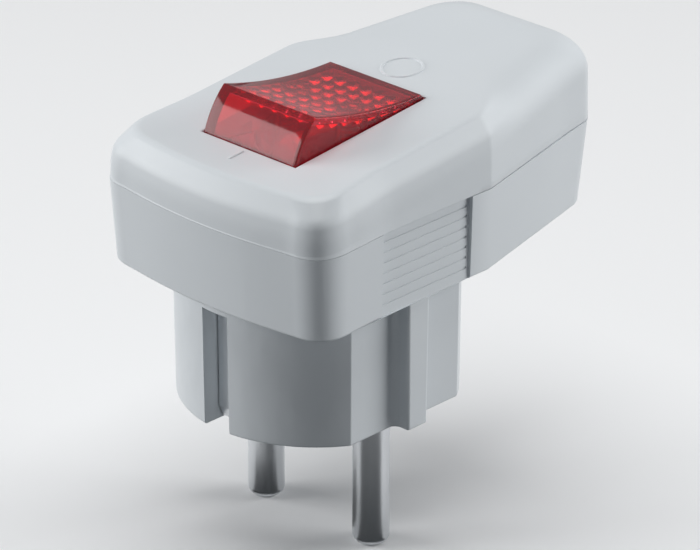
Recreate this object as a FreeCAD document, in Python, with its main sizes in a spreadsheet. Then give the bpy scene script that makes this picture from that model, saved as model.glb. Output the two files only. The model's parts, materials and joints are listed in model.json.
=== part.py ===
import FreeCAD, Part
import math
import os
import Sketcher
from FreeCAD import Placement, Rotation, Vector

# Angled two-pin earthed plug with a lit rocker switch in its cover.
# Origin: centre of the flat face that the pins stand out of.
# Pins point to -Z, the cord end to +X, the cover is on top. Millimetres.

doc = FreeCAD.newDocument("angled_plug")
sheet = doc.addObject("Spreadsheet::Sheet", "sizes")

DRIVING = {
    # pins and the round plug body that enters the socket
    "pin_radius": 2.4,
    "pin_length": 19,
    "pin_spacing": 19,
    "pin_tip": 1.1,
    "pin_tip_radius": 1.2,
    "pin_shank_radius": 2,
    "pin_shoulder": 0.4,
    "pin_collar_radius": 3.6,
    "pin_rivet_radius": 1.5,
    "pin_rivet_head": 2.0,
    "pin_rivet_rise": 0.8,
    "plug_radius": 18.1,
    "plug_height": 17.9,
    "plug_draft": 0.5,
    "plug_flat": 15.3,
    "guide_width": 3.5,
    "guide_reach": 17.6,
    "guide_fillet": 0.9,
    "plug_edge": 0.4,
    "slot_width": 4.4,
    "slot_roof": 1.6,
    # housing outline at the parting line, and at the floor where it is smaller
    "shell_height": 11.3,
    "front_reach": 20.2,
    "front_bow": 2.1,
    "half_width": 18.6,
    "bend_x": 12,
    "rear_half_width": 12.1,
    "housing_draft": 1.5,
    "rear_draft": 8.5,
    "corner_radius": 5,
    "rear_corner_radius": 4,
    "inner_corner_radius": 2,
    "floor_edge": 0.5,
    "wall": 2,
    "cover_draft": 1,
    # sloping top of the cover with its bevel and soft edge
    "cover_height": 8.43,
    "top_slope": 5.8,
    "bevel_in": 1.4,
    "bevel_down": 2.2,
    "ridge_radius": 2,
    # grip panels on both sides of the lower housing
    "grip_front": 7.4,
    "grip_rear": 8.6,
    "grip_recess": 0.35,
    "grip_groove_depth": 0.3,
    "grip_groove_width": 0.35,
    "grip_pitch": 1.4,
    "grip_count": 7,
    "grip_first": 1.1,
    "grip_end": 0.4,
    # rocker
    "pivot_depth": 5,
    "rocker_tilt": 13.6,
    "rocker_end_radius": 12.4,
    "rocker_half_width": 8,
    "rocker_dish_radius": 61,
    "rocker_half_top": 9.5,
    "rocker_inner_corner": 0.5,
    "rocker_skirt": 4,
    "rocker_wall": 1.2,
    "window_gap": 0.2,
    "axle_radius": 1.5,
    "axle_end": 9.9,
    "axle_gap": 0.05,
    "ear_radius": 2.6,
    "lug_thick": 2,
    "lug_radius": 3.2,
    "post_radius": 1.9,
    "post_bottom": 3.5,
    "plunger_radius": 1.15,
    "plunger_gap": 0.05,
    "plunger_top": 1.2,
    "plunger_reach": 8.55,
    "plunger_tip": 0.6,
    "spring_radius": 0.95,
    "spring_wire": 0.2,
    "spring_top": 5.4,
    "spring_turns": 7,
    # contact levers and what they touch
    "pole_y": 4.8,
    "lever_depth": 8.5,
    "lever_tilt": 9,
    "lever_arm": 8.6,
    "lever_width": 2.8,
    "lever_bend": 0.2,
    "strip": 0.8,
    "trunnion_radius": 0.8,
    "trunnion_gap": 0.05,
    "ear_gap": 0.3,
    "contact_u": 7.3,
    "contact_radius": 1.3,
    "contact_rise": 0.7,
    "contact_gap": 0.2,
    "contact_margin": 0.8,
    "strip_lead": 1.5,
    "base_thick": 1.2,
    "base_front": 12.8,
    "base_half_width": 13.4,
    "saddle_half": 2.2,
    "saddle_margin": 0.5,
    "stop_length": 1.6,
    "base_margin": 0.4,
    # lamp
    "lamp_radius": 2,
    "lamp_length": 11,
    "lamp_lift": 1,
    "cradle_depth": 1.2,
    "web_half": 0.75,
    "web_reach": 4.4,
    "resistor_radius": 1.2,
    "resistor_length": 6.3,
    "resistor_neck": 0.95,
    "resistor_cap": 1.5,
    "resistor_margin": 1,
    # terminals
    "terminal_x": 15,
    "terminal_length": 6,
    "terminal_y": 7.6,
    "terminal_width": 5.6,
    "terminal_height": 6.4,
    "wire_hole": 1.6,
    "wire_lift": 2.5,
    "terminal_screw": 1.5,
    "terminal_screw_head": 1.9,
    "terminal_screw_length": 2.6,
    "earth_block_length": 4.8,
    "earth_block_width": 4.6,
    "earth_opening": 0.3,
    # earth strap
    "strap_reach": 15.6,
    "strap_width": 4,
    "strap_tip": 0.4,
    "strap_bend": 0.6,
    "strap_knee": 1.9,
    "fit_gap": 0.1,
    # cord entry, clamp and screws
    "cord_radius": 4,
    "bush_radius": 5.4,
    "bush_flange": 6.2,
    "bush_flange_thick": 1.5,
    "clamp_from_boss": 5.6,
    "clamp_length": 4.6,
    "clamp_half": 9,
    "clamp_lift": 1.7,
    "clamp_thick": 4,
    "clamp_screw_y": 6.6,
    "clamp_screw": 1.25,
    "clamp_screw_head": 2.2,
    "clamp_screw_length": 10,
    "rear_room": 4.7,
    "boss_gap": 1.6,
    "boss_y": 10,
    "boss_radius": 2.9,
    "boss_screw": 1.5,
    "boss_screw_head": 2.7,
    "boss_head_depth": 2.6,
    "base_screw": 1.1,
    "base_screw_head": 2,
    "base_screw_length": 6.2,
    "base_screw_front_x": 11,
    "base_screw_front_y": 9,
    "base_screw_rear_x": 12,
    "base_screw_rear_y": 11.6,
    "pilot_spare": 1,
    "boss_screw_bite": 6.5,
    "screw_head_thick": 1.6,
    "screw_slot_width": 0.6,
    "screw_slot_depth": 0.8,
}
for row, (word, value) in enumerate(DRIVING.items(), start=1):
    sheet.set(f"A{row}", str(value))
    sheet.setAlias(f"A{row}", word)
doc.recompute()

# Places that follow from the driving sizes, as expressions over the sheet.
FLOOR_TOP = "(sizes.plug_height + sizes.wall)"
PARTING = "(sizes.plug_height + sizes.shell_height)"
TOP = f"({PARTING} + sizes.cover_height)"
SLOT_TOP = "(sizes.plug_height - sizes.slot_roof)"
BOSS_X = "(sizes.terminal_x + sizes.terminal_length + sizes.boss_gap + sizes.boss_radius)"
CLAMP_X = f"({BOSS_X} + sizes.clamp_from_boss)"
REAR = f"({CLAMP_X} + sizes.clamp_length / 2 + sizes.rear_room)"
BASE_TOP = f"({FLOOR_TOP} + sizes.base_thick)"
STRIP_TOP = f"({BASE_TOP} + sizes.strip)"
SLOPE = "(sizes.top_slope * 1deg)"
PIVOT_Z = f"({TOP} - sizes.pivot_depth / cos({SLOPE}))"
LEVER_X = f"(sizes.lever_depth * sin({SLOPE}))"
LEVER_Z = f"({PIVOT_Z} - sizes.lever_depth * cos({SLOPE}))"
CLAMP_Z = f"({PARTING} + sizes.clamp_lift)"
# The four screws that hold the switch base down.
BASE_SCREWS = [
    ("-sizes.base_screw_front_x", "sizes.base_screw_front_y"),
    ("-sizes.base_screw_front_x", "-sizes.base_screw_front_y"),
    ("sizes.base_screw_rear_x", "sizes.base_screw_rear_y"),
    ("sizes.base_screw_rear_x", "-sizes.base_screw_rear_y"),
]
# How far a cut runs past what it cuts.
PAST = "1"


def size(text):
    """Value of an expression over the sheet."""
    return float(sheet.evalExpression(text))


def new_body(name, x="0", y="0", z="0", turn=None):
    """A sub-part whose place, and turn about Y, follow the sheet."""
    body = doc.addObject("PartDesign::Body", name)
    body.Label = name
    body.Placement = Placement(Vector(), Rotation(Vector(0, 1, 0), 1))
    body.setExpression("Placement.Base.x", f"({x}) * 1mm")
    body.setExpression("Placement.Base.y", f"({y}) * 1mm")
    body.setExpression("Placement.Base.z", f"({z}) * 1mm")
    body.setExpression("Placement.Rotation.Angle", f"({turn or 0}) * 1deg")
    return body


def new_sketch(body, plane, lift=None):
    """A sketch on one of the body's own planes, lifted along that plane's normal."""
    sketch = body.newObject("Sketcher::SketchObject", f"{body.Name}_sketch")
    support = [item for item in body.Origin.OriginFeatures if item.Role == plane][0]
    sketch.AttachmentSupport = [(support, "")]
    sketch.MapMode = "FlatFace"
    if lift:
        sketch.setExpression("AttachmentOffset.Base.z", f"({lift}) * 1mm")
    return sketch


def hold(sketch, geometry, corner, x, y):
    """Hold one point of a sketch at x, y from the sketch's origin."""
    for kind, text, axis in (("DistanceX", x, -2), ("DistanceY", y, -1)):
        value = size(text)
        if abs(value) < 1e-9:
            sketch.addConstraint(Sketcher.Constraint("PointOnObject", geometry, corner, axis))
            continue
        index = sketch.addConstraint(Sketcher.Constraint(kind, -1, 1, geometry, corner, value))
        sketch.setExpression(f"Constraints[{index}]", f"({text}) * 1mm")


def outline(sketch, points, arcs=None):
    """Closed outline through points. arcs maps a side's number to the signed radius of its arc:
    a positive one bulges to the right of the way along the outline."""
    arcs = arcs or {}
    spots = [Vector(size(x), size(y), 0) for x, y in points]
    ends = []
    for number, start in enumerate(spots):
        stop = spots[(number + 1) % len(spots)]
        if number in arcs:
            radius = size(arcs[number])
            chord = stop - start
            right = Vector(chord.y, -chord.x, 0).normalize()
            sag = abs(radius) - math.sqrt(radius ** 2 - (chord.Length / 2) ** 2)
            middle = (start + stop) / 2 + right * math.copysign(sag, radius)
            forward = radius > 0
            arc = Part.Arc(start, middle, stop) if forward else Part.Arc(stop, middle, start)
            made = sketch.addGeometry(arc, False)
            ends.append((made, 1 if forward else 2, 2 if forward else 1))
        else:
            made = sketch.addGeometry(Part.LineSegment(start, stop), False)
            ends.append((made, 1, 2))
    for number, (made, first, last) in enumerate(ends):
        following = ends[(number + 1) % len(ends)]
        sketch.addConstraint(Sketcher.Constraint("Coincident", made, last, following[0], following[1]))
        hold(sketch, made, first, *points[number])
        if number in arcs:
            index = sketch.addConstraint(Sketcher.Constraint("Radius", made, abs(size(arcs[number]))))
            sketch.setExpression(f"Constraints[{index}]", f"abs({arcs[number]}) * 1mm")
    return sketch


def rectangle(sketch, x0, x1, y0, y1):
    """Rectangle between two expressions each way."""
    return outline(sketch, [(x0, y0), (x1, y0), (x1, y1), (x0, y1)])


def circle(sketch, x, y, radius):
    """Circle of a radius about x, y."""
    made = sketch.addGeometry(Part.Circle(Vector(size(x), size(y), 0), Vector(0, 0, 1), size(radius)), False)
    hold(sketch, made, 3, x, y)
    index = sketch.addConstraint(Sketcher.Constraint("Radius", made, size(radius)))
    sketch.setExpression(f"Constraints[{index}]", f"({radius}) * 1mm")
    return sketch


def feature(body, kind, sketch, length, both_ways=False, against=False, draft=None):
    """A Pad or a Pocket of a sketch. A pocket that removes nothing is an error."""
    doc.recompute()
    before = body.Shape.Volume if body.Tip else 0
    made = body.newObject(f"PartDesign::{kind}", f"{body.Name}_{kind.lower()}")
    made.Profile = sketch
    made.setExpression("Length", f"({length}) * 1mm")
    if both_ways:
        made.Midplane = True
    made.Reversed = against
    if draft:
        made.setExpression("TaperAngle", f"({draft}) * 1deg")
    body.Tip = made
    doc.recompute()
    if kind == "Pocket" and body.Shape.Volume > before - 1e-6:
        raise ValueError(f"{body.Name}: a pocket cuts nothing")
    return made


def pad(body, sketch, length, **how):
    """Pad of a sketch."""
    return feature(body, "Pad", sketch, length, **how)


def pocket(body, sketch, length, **how):
    """Pocket of a sketch."""
    return feature(body, "Pocket", sketch, length, **how)


def revolve(body, points, arcs=None, axis="V_Axis"):
    """Body of revolution: an outline in the XZ plane, turned about a sketch axis."""
    sketch = outline(new_sketch(body, "XZ_Plane"), points, arcs)
    doc.recompute()
    made = body.newObject("PartDesign::Revolution", f"{body.Name}_revolution")
    made.Profile = sketch
    made.ReferenceAxis = (sketch, [axis])
    made.Angle = 360
    body.Tip = made
    doc.recompute()
    return made


def dress(body, kind, wanted, **sizes_of):
    """A Fillet or Chamfer on the edges that wanted(edge) picks."""
    doc.recompute()
    base = body.Tip
    names = [f"Edge{i}" for i, edge in enumerate(base.Shape.Edges, start=1) if wanted(edge)]
    if not names:
        raise ValueError(f"{body.Name}: no edge to {kind.lower()}")
    made = body.newObject(f"PartDesign::{kind}", f"{body.Name}_{kind.lower()}")
    made.Base = (base, names)
    for prop, text in sizes_of.items():
        made.setExpression(prop, f"({text}) * 1mm")
    body.Tip = made
    doc.recompute()
    return made


def upright(edge):
    """True for an edge that rises from one end to the other with little slant."""
    if len(edge.Vertexes) < 2:
        return False
    way = edge.Vertexes[1].Point - edge.Vertexes[0].Point
    return way.Length > 1 and abs(way.z) > 0.9 * way.Length


def near(edge, x, y, reach=0.6):
    """True when an edge's middle lies by x, y in plan."""
    middle = edge.BoundBox.Center
    return abs(abs(middle.x - x)) < reach and abs(abs(middle.y) - y) < reach


def plan(sketch, inset="0"):
    """Housing outline in plan: bowed front, straight sides, tapered cord end."""
    front_corner = f"(-sizes.front_reach + {inset} + sizes.front_bow)"
    half = f"(sizes.half_width - {inset})"
    rear = f"({REAR} - {inset})"
    rear_half = f"(sizes.rear_half_width - {inset})"
    bow = f"(({half} ^ 2 + sizes.front_bow ^ 2) / (2 * sizes.front_bow))"
    points = [
        (front_corner, f"-{half}"),
        ("sizes.bend_x", f"-{half}"),
        (rear, f"-{rear_half}"),
        (rear, rear_half),
        ("sizes.bend_x", half),
        (front_corner, half),
    ]
    return outline(sketch, points, {5: bow})


def draft(body, wanted, angle, against):
    """Lean side faces from the parting line, as a mould needs."""
    base = body.Tip
    level = size(PARTING)
    faces = list(enumerate(base.Shape.Faces, start=1))
    made = body.newObject("PartDesign::Draft", f"{body.Name}_draft")
    made.Base = (base, [f"Face{i}" for i, face in faces if wanted(face)])
    made.NeutralPlane = (base, [f"Face{i}" for i, face in faces if abs(face.CenterOfMass.z - level) < 1e-4])
    made.setExpression("Angle", f"({angle}) * 1deg")
    made.Reversed = against
    body.Tip = made
    doc.recompute()


def is_wall(face):
    """True for an upright face of the outline."""
    return abs(face.normalAt(0, 0).z) < 0.5


def is_pin_mouth(edge):
    """True for the round edge where a pin's hole opens in the plug's face."""
    return len(edge.Vertexes) == 1 and abs(edge.Vertexes[0].Z) < 1e-4


def inner_corners(body):
    """Round the upright corners inside a shell."""
    x0 = size("-sizes.front_reach + sizes.wall + sizes.fit_gap + sizes.front_bow")
    x1 = size(f"{REAR} - sizes.wall - sizes.fit_gap")
    spots = [(x0, size("sizes.half_width - sizes.wall - sizes.fit_gap")),
             (x1, size("sizes.rear_half_width - sizes.wall - sizes.fit_gap"))]
    dress(body, "Fillet", lambda e: upright(e) and any(near(e, x, y, 0.05) for x, y in spots),
          Radius="sizes.inner_corner_radius")


def round_corners(body, front, rear):
    """Round the upright corners at the front and at the cord end."""
    dress(body, "Fillet", lambda e: upright(e) and e.Vertexes[0].X < size("-sizes.front_reach / 2"),
          Radius=front)
    dress(body, "Fillet", lambda e: upright(e) and e.Vertexes[0].X > size(f"{REAR} - 3"),
          Radius=rear)


def pin(name, side):
    """Round pin: domed tip, conical shoulder in the plug's face, shank, collar on the floor, rivet above."""
    body = new_body(name, y=f"{side} * sizes.pin_spacing / 2")
    points = [
        ("0", "-sizes.pin_length"),
        ("sizes.pin_radius - sizes.pin_tip", "-sizes.pin_length"),
        ("sizes.pin_radius", "-sizes.pin_length + sizes.pin_tip"),
        ("sizes.pin_radius", "0"),
        ("sizes.pin_shank_radius", "sizes.pin_shoulder"),
        ("sizes.pin_shank_radius", FLOOR_TOP),
        ("sizes.pin_collar_radius", FLOOR_TOP),
        ("sizes.pin_collar_radius", BASE_TOP),
        ("sizes.pin_rivet_radius", BASE_TOP),
        ("sizes.pin_rivet_radius", STRIP_TOP),
        ("sizes.pin_rivet_head", STRIP_TOP),
        ("sizes.pin_rivet_head", f"{STRIP_TOP} + sizes.pin_rivet_rise / 2"),
        ("sizes.pin_rivet_radius", f"{STRIP_TOP} + sizes.pin_rivet_rise"),
        ("0", f"{STRIP_TOP} + sizes.pin_rivet_rise"),
    ]
    revolve(body, points, {1: "sizes.pin_tip_radius"})
    return body


def lower_housing():
    """Lower shell moulded in one with the round plug body, its earth slots and guide ribs."""
    body = new_body("lower_housing")
    depth = f"({PARTING} - sizes.plug_height)"
    pad(body, plan(new_sketch(body, "XY_Plane", PARTING)), depth, against=True)
    rear = size(f"{REAR} - sizes.wall")
    draft(body, lambda f: is_wall(f) and f.CenterOfMass.x < rear, "sizes.housing_draft", True)
    draft(body, lambda f: is_wall(f) and f.CenterOfMass.x > rear, "sizes.rear_draft", True)
    round_corners(body, "sizes.corner_radius", "sizes.rear_corner_radius")
    dress(body, "Fillet",
          lambda e: all(abs(v.Z - size("sizes.plug_height")) < 1e-4 for v in e.Vertexes),
          Radius="sizes.floor_edge")
    # the open inside of the shell
    inside = plan(new_sketch(body, "XY_Plane", PARTING), inset="(sizes.wall + sizes.fit_gap)")
    pocket(body, inside, f"{depth} - sizes.wall")
    inner_corners(body)
    # round plug body with a flat and a guide rib on both sides
    edge_x = "sqrt(sizes.plug_radius ^ 2 - sizes.plug_flat ^ 2)"
    rib = "sizes.guide_width / 2"
    points = [
        (edge_x, "-sizes.plug_flat"),
        (edge_x, "sizes.plug_flat"),
        (rib, "sizes.plug_flat"),
        (rib, "sizes.guide_reach"),
        (f"-{rib}", "sizes.guide_reach"),
        (f"-{rib}", "sizes.plug_flat"),
        (f"-({edge_x})", "sizes.plug_flat"),
        (f"-({edge_x})", "-sizes.plug_flat"),
        (f"-{rib}", "-sizes.plug_flat"),
        (f"-{rib}", "-sizes.guide_reach"),
        (rib, "-sizes.guide_reach"),
        (rib, "-sizes.plug_flat"),
    ]
    plug = outline(new_sketch(body, "XY_Plane"), points, {0: "sizes.plug_radius", 6: "sizes.plug_radius"})
    pad(body, plug, "sizes.plug_height + sizes.floor_edge", draft="sizes.plug_draft")
    in_plug = lambda e: upright(e) and e.BoundBox.ZMin < 1
    dress(body, "Fillet",
          lambda e: in_plug(e) and abs(e.BoundBox.Center.x) < size("sizes.guide_width")
          and abs(e.BoundBox.Center.y) < size("sizes.plug_flat + sizes.guide_reach") / 2,
          Radius="sizes.guide_fillet")
    dress(body, "Fillet",
          lambda e: in_plug(e) and (abs(e.BoundBox.Center.x) > size(edge_x) / 2
                                    or abs(e.BoundBox.Center.y) > size("sizes.guide_reach - 0.3")),
          Radius="sizes.plug_edge")
    dress(body, "Fillet", lambda e: e.BoundBox.ZMax < 1e-4, Radius="sizes.plug_edge")
    # earth slots, and the channel that the strap lies in
    reach = "sizes.strap_reach"
    back = f"({reach} - sizes.strip - sizes.strap_bend - sizes.fit_gap)"
    half_slot = "sizes.slot_width / 2"
    half_strap = "(sizes.strap_width / 2 + sizes.fit_gap)"
    for side in (-1, 1):
        slot = rectangle(new_sketch(body, "XY_Plane"), f"{side} * {back}", f"{side} * (sizes.plug_radius + {PAST})",
                         f"-{half_slot}", half_slot)
        pocket(body, slot, SLOT_TOP, against=True)
        slit = rectangle(new_sketch(body, "XY_Plane", f"{SLOT_TOP} - {PAST}"),
                         f"{side} * ({reach} - sizes.strip - sizes.fit_gap)",
                         f"{side} * ({reach} + sizes.fit_gap)", f"-{half_strap}", half_strap)
        pocket(body, slit, f"{FLOOR_TOP} - {SLOT_TOP} + 2 * {PAST}", against=True)
        hole = circle(new_sketch(body, "XY_Plane"), "0", f"{side} * sizes.pin_spacing / 2",
                      "sizes.pin_shank_radius + sizes.fit_gap / 2")
        pocket(body, hole, f"{FLOOR_TOP} + {PAST}", against=True)
    dress(body, "Chamfer", is_pin_mouth, Size="sizes.pin_shoulder")
    channel = rectangle(new_sketch(body, "XY_Plane", FLOOR_TOP), f"-{reach}", reach,
                        f"-{half_strap}", half_strap)
    pocket(body, channel, "sizes.strip")
    # recessed grip panels with fine grooves
    for side in (-1, 1):
        face = f"(sizes.half_width - {depth} * tan(sizes.housing_draft * 1deg) - sizes.grip_recess)"
        panel = rectangle(new_sketch(body, "XZ_Plane", f"{-side} * {face}"), "-sizes.grip_front",
                          "sizes.grip_rear", f"sizes.plug_height - {PAST}", f"{PARTING} + {PAST}")
        pocket(body, panel, "sizes.wall", against=side < 0)
        first = f"({PARTING} - sizes.grip_first - sizes.grip_groove_width)"
        groove = rectangle(new_sketch(body, "XZ_Plane", f"{-side} * ({face} - sizes.grip_groove_depth)"),
                           "-sizes.grip_front + sizes.grip_end", "sizes.grip_rear - sizes.grip_end",
                           first, f"{first} + sizes.grip_groove_width")
        cut = pocket(body, groove, "sizes.wall", against=side < 0)
        rows = body.newObject("PartDesign::LinearPattern", "grip_rows")
        rows.Originals = [cut]
        rows.Direction = (groove, ["V_Axis"])
        rows.Reversed = True
        rows.Mode = "Spacing"
        rows.setExpression("Offset", "sizes.grip_pitch * 1mm")
        rows.setExpression("Occurrences", "sizes.grip_count")
        body.Tip = rows
        doc.recompute()
    # clamp pedestal, screw bosses and the lower half of the cord entry
    clamp_x0 = f"({CLAMP_X} - sizes.clamp_length / 2)"
    clamp_x1 = f"({CLAMP_X} + sizes.clamp_length / 2)"
    seat = rectangle(new_sketch(body, "XY_Plane", "sizes.plug_height + sizes.wall / 2"), clamp_x0, clamp_x1,
                     "-sizes.clamp_half", "sizes.clamp_half")
    pad(body, seat, f"{CLAMP_Z} - sizes.plug_height - sizes.wall / 2")
    for side in (-1, 1):
        boss = circle(new_sketch(body, "XY_Plane", "sizes.plug_height + sizes.wall / 2"), BOSS_X,
                      f"{side} * sizes.boss_y", "sizes.boss_radius")
        pad(body, boss, f"{depth} - sizes.wall / 2")
        hole = circle(new_sketch(body, "XY_Plane", "sizes.plug_height"), BOSS_X,
                      f"{side} * sizes.boss_y", "sizes.boss_screw + sizes.fit_gap")
        pocket(body, hole, depth, against=True)
        head = circle(new_sketch(body, "XY_Plane", "sizes.plug_height"), BOSS_X,
                      f"{side} * sizes.boss_y", "sizes.boss_screw_head + sizes.fit_gap")
        pocket(body, head, "sizes.boss_head_depth", against=True)
        pilot = circle(new_sketch(body, "XY_Plane", CLAMP_Z), CLAMP_X,
                       f"{side} * sizes.clamp_screw_y", "sizes.clamp_screw + sizes.fit_gap / 2")
        pocket(body, pilot, "sizes.clamp_screw_length - sizes.clamp_thick + sizes.pilot_spare")
    groove = circle(new_sketch(body, "YZ_Plane", f"{clamp_x0} - {PAST}"), "0", PARTING, "sizes.cord_radius + sizes.fit_gap")
    pocket(body, groove, REAR, against=True)
    entry = circle(new_sketch(body, "YZ_Plane", clamp_x1), "0", PARTING, "sizes.bush_radius + sizes.fit_gap")
    pocket(body, entry, REAR, against=True)
    for x, y in BASE_SCREWS:
        pilot = circle(new_sketch(body, "XY_Plane", FLOOR_TOP), x, y, "sizes.base_screw + sizes.fit_gap / 2")
        pocket(body, pilot, "sizes.base_screw_length - sizes.base_thick + sizes.pilot_spare")
    return body


def cylinder(name, radius, height, x, y, z):
    """Upright cylinder primitive whose sizes and place follow the sheet."""
    made = doc.addObject("Part::Cylinder", name)
    made.setExpression("Radius", f"({radius}) * 1mm")
    made.setExpression("Height", f"({height}) * 1mm")
    for axis, text in (("x", x), ("y", y), ("z", z)):
        made.setExpression(f"Placement.Base.{axis}", f"({text}) * 1mm")
    return made


def across(name, radius, length, x, z):
    """Cylinder primitive along Y, centred on the middle plane."""
    made = doc.addObject("Part::Cylinder", name)
    made.Placement = Placement(Vector(), Rotation(Vector(1, 0, 0), -90))
    made.setExpression("Radius", f"({radius}) * 1mm")
    made.setExpression("Height", f"({length}) * 1mm")
    for axis, text in (("x", x), ("y", f"-({length}) / 2"), ("z", z)):
        made.setExpression(f"Placement.Base.{axis}", f"({text}) * 1mm")
    return made


def along(name, radius, length, x, z):
    """Cylinder primitive along X from a start x, on the middle plane."""
    made = doc.addObject("Part::Cylinder", name)
    made.Placement = Placement(Vector(), Rotation(Vector(0, 1, 0), 90))
    made.setExpression("Radius", f"({radius}) * 1mm")
    made.setExpression("Height", f"({length}) * 1mm")
    made.setExpression("Placement.Base.x", f"({x}) * 1mm")
    made.setExpression("Placement.Base.z", f"({z}) * 1mm")
    return made


def cut_slope(body, under):
    """Cut off what stands above a plane parallel to the sloping top and some way under it."""
    rise = f"tan({SLOPE})"
    middle = f"({TOP} - {under} / cos({SLOPE}))"
    over = outline(new_sketch(body, "XZ_Plane"), [
        (f"-2 * {REAR}", f"{middle} - 2 * {REAR} * {rise}"),
        (f"2 * {REAR}", f"{middle} + 2 * {REAR} * {rise}"),
        (f"2 * {REAR}", f"2 * {TOP}"),
        (f"-2 * {REAR}", f"2 * {TOP}"),
    ])
    pocket(body, over, "4 * sizes.half_width", both_ways=True)


def cover_form():
    """Outside of the cover: leaning walls, sloping top, bevel with a soft ridge."""
    body = new_body("cover_form")
    pad(body, plan(new_sketch(body, "XY_Plane", PARTING)), "2 * sizes.cover_height")
    draft(body, is_wall, "sizes.cover_draft", False)
    round_corners(body, "sizes.corner_radius", "sizes.rear_corner_radius")
    cut_slope(body, "0")
    slope = math.radians(size("sizes.top_slope"))
    up = Vector(-math.sin(slope), 0, math.cos(slope))
    summit = Vector(0, 0, size(TOP))

    def depth_of(edge):
        """How far the ends of an edge lie under the sloping top: nearest and farthest."""
        depths = [(summit - vertex.Point).dot(up) for vertex in edge.Vertexes]
        return min(depths), max(depths)

    made = dress(body, "Chamfer", lambda e: depth_of(e)[1] < 1e-4, Size="sizes.bevel_in", Size2="sizes.bevel_down")
    made.ChamferType = "Two distances"
    made.FlipDirection = True
    doc.recompute()
    low, high = size("sizes.bevel_down * 0.8"), size("sizes.bevel_down * 1.2")
    dress(body, "Fillet", lambda e: low < depth_of(e)[0] and depth_of(e)[1] < high, Radius="sizes.ridge_radius")
    return body


def cover_core():
    """The hollow under the sloping top."""
    body = new_body("cover_core")
    pad(body, plan(new_sketch(body, "XY_Plane", PARTING), inset="(sizes.wall + sizes.fit_gap)"),
        "2 * sizes.cover_height")
    inner_corners(body)
    cut_slope(body, "sizes.wall")
    return body


LUG_INNER = "(sizes.rocker_half_width + sizes.window_gap)"


def cover_supports():
    """A block for the axle's lugs, which the window then parts in two, and two screw posts."""
    body = new_body("cover_supports")
    reach = "sizes.lug_radius"
    roof = f"{TOP} - sizes.wall / 2"
    length = f"2 * ({LUG_INNER} + sizes.lug_thick)"
    pad(body, rectangle(new_sketch(body, "XZ_Plane"), f"-{reach}", reach, PIVOT_Z, roof), length, both_ways=True)
    pad(body, circle(new_sketch(body, "XZ_Plane"), "0", PIVOT_Z, reach), length, both_ways=True)
    posts = doc.addObject("Part::Compound", "cover_posts")
    posts.Links = [
        cylinder(f"cover_post_{i}", "sizes.boss_radius",
                 f"{TOP} + {BOSS_X} * tan({SLOPE}) - sizes.wall / 2 - {PARTING}",
                 BOSS_X, f"{side} * sizes.boss_y", PARTING) for i, side in enumerate((-1, 1))]
    return [body, posts]


def cover_cuts():
    """The rocker's round window, the axle's bore, the screws' pilot holes and half of the cord entry."""
    return [
        across("cover_window", "sizes.rocker_end_radius + sizes.window_gap", f"2 * {LUG_INNER}", "0", PIVOT_Z),
        across("cover_axle_bore", "sizes.axle_radius + sizes.axle_gap", f"2 * ({LUG_INNER} + sizes.lug_thick + {PAST})",
               "0", PIVOT_Z),
        along("cover_entry", "sizes.bush_radius + sizes.fit_gap", REAR,
              f"{BOSS_X} + sizes.boss_radius", PARTING),
    ] + [cylinder(f"cover_pilot_{i}", "sizes.boss_screw + sizes.fit_gap / 2", f"sizes.boss_screw_bite + sizes.pilot_spare + {PAST}",
                  BOSS_X, f"{side} * sizes.boss_y", f"{PARTING} - {PAST}") for i, side in enumerate((-1, 1))]


def top_cover():
    """Sloping cover with a bevelled edge, the rocker's window and the lugs that carry its axle."""
    shell = doc.addObject("Part::Cut", "cover_shell")
    shell.Base = cover_form()
    shell.Tool = cover_core()
    whole = doc.addObject("Part::MultiFuse", "cover_whole")
    whole.Shapes = [shell] + cover_supports()
    cuts = doc.addObject("Part::MultiFuse", "cover_cuts")
    cuts.Shapes = cover_cuts()
    made = doc.addObject("Part::Cut", "top_cover")
    made.Base = whole
    made.Tool = cuts
    doc.recompute()
    return made


def rocker_section(sketch, inset, corner, skirt):
    """Side view of the rocker: concave top between two ends that are round about its axle."""
    reach = f"(sizes.rocker_end_radius - {inset})"
    half = f"(sizes.rocker_half_top - {corner})"
    top = f"sqrt({reach} ^ 2 - {half} ^ 2)"
    skirt_x = f"({reach} * cos({skirt} * 1deg))"
    skirt_z = f"({reach} * sin({skirt} * 1deg))"
    points = [(f"-{skirt_x}", skirt_z), (skirt_x, skirt_z), (half, top), (f"-{half}", top)]
    return outline(sketch, points, {1: reach, 2: "-sizes.rocker_dish_radius", 3: reach})


def on_rocker(name):
    """A sub-part that tilts with the rocker, drawn about the axle and set at the off position."""
    return new_body(name, z=PIVOT_Z, turn="sizes.rocker_tilt - sizes.top_slope")


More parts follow.
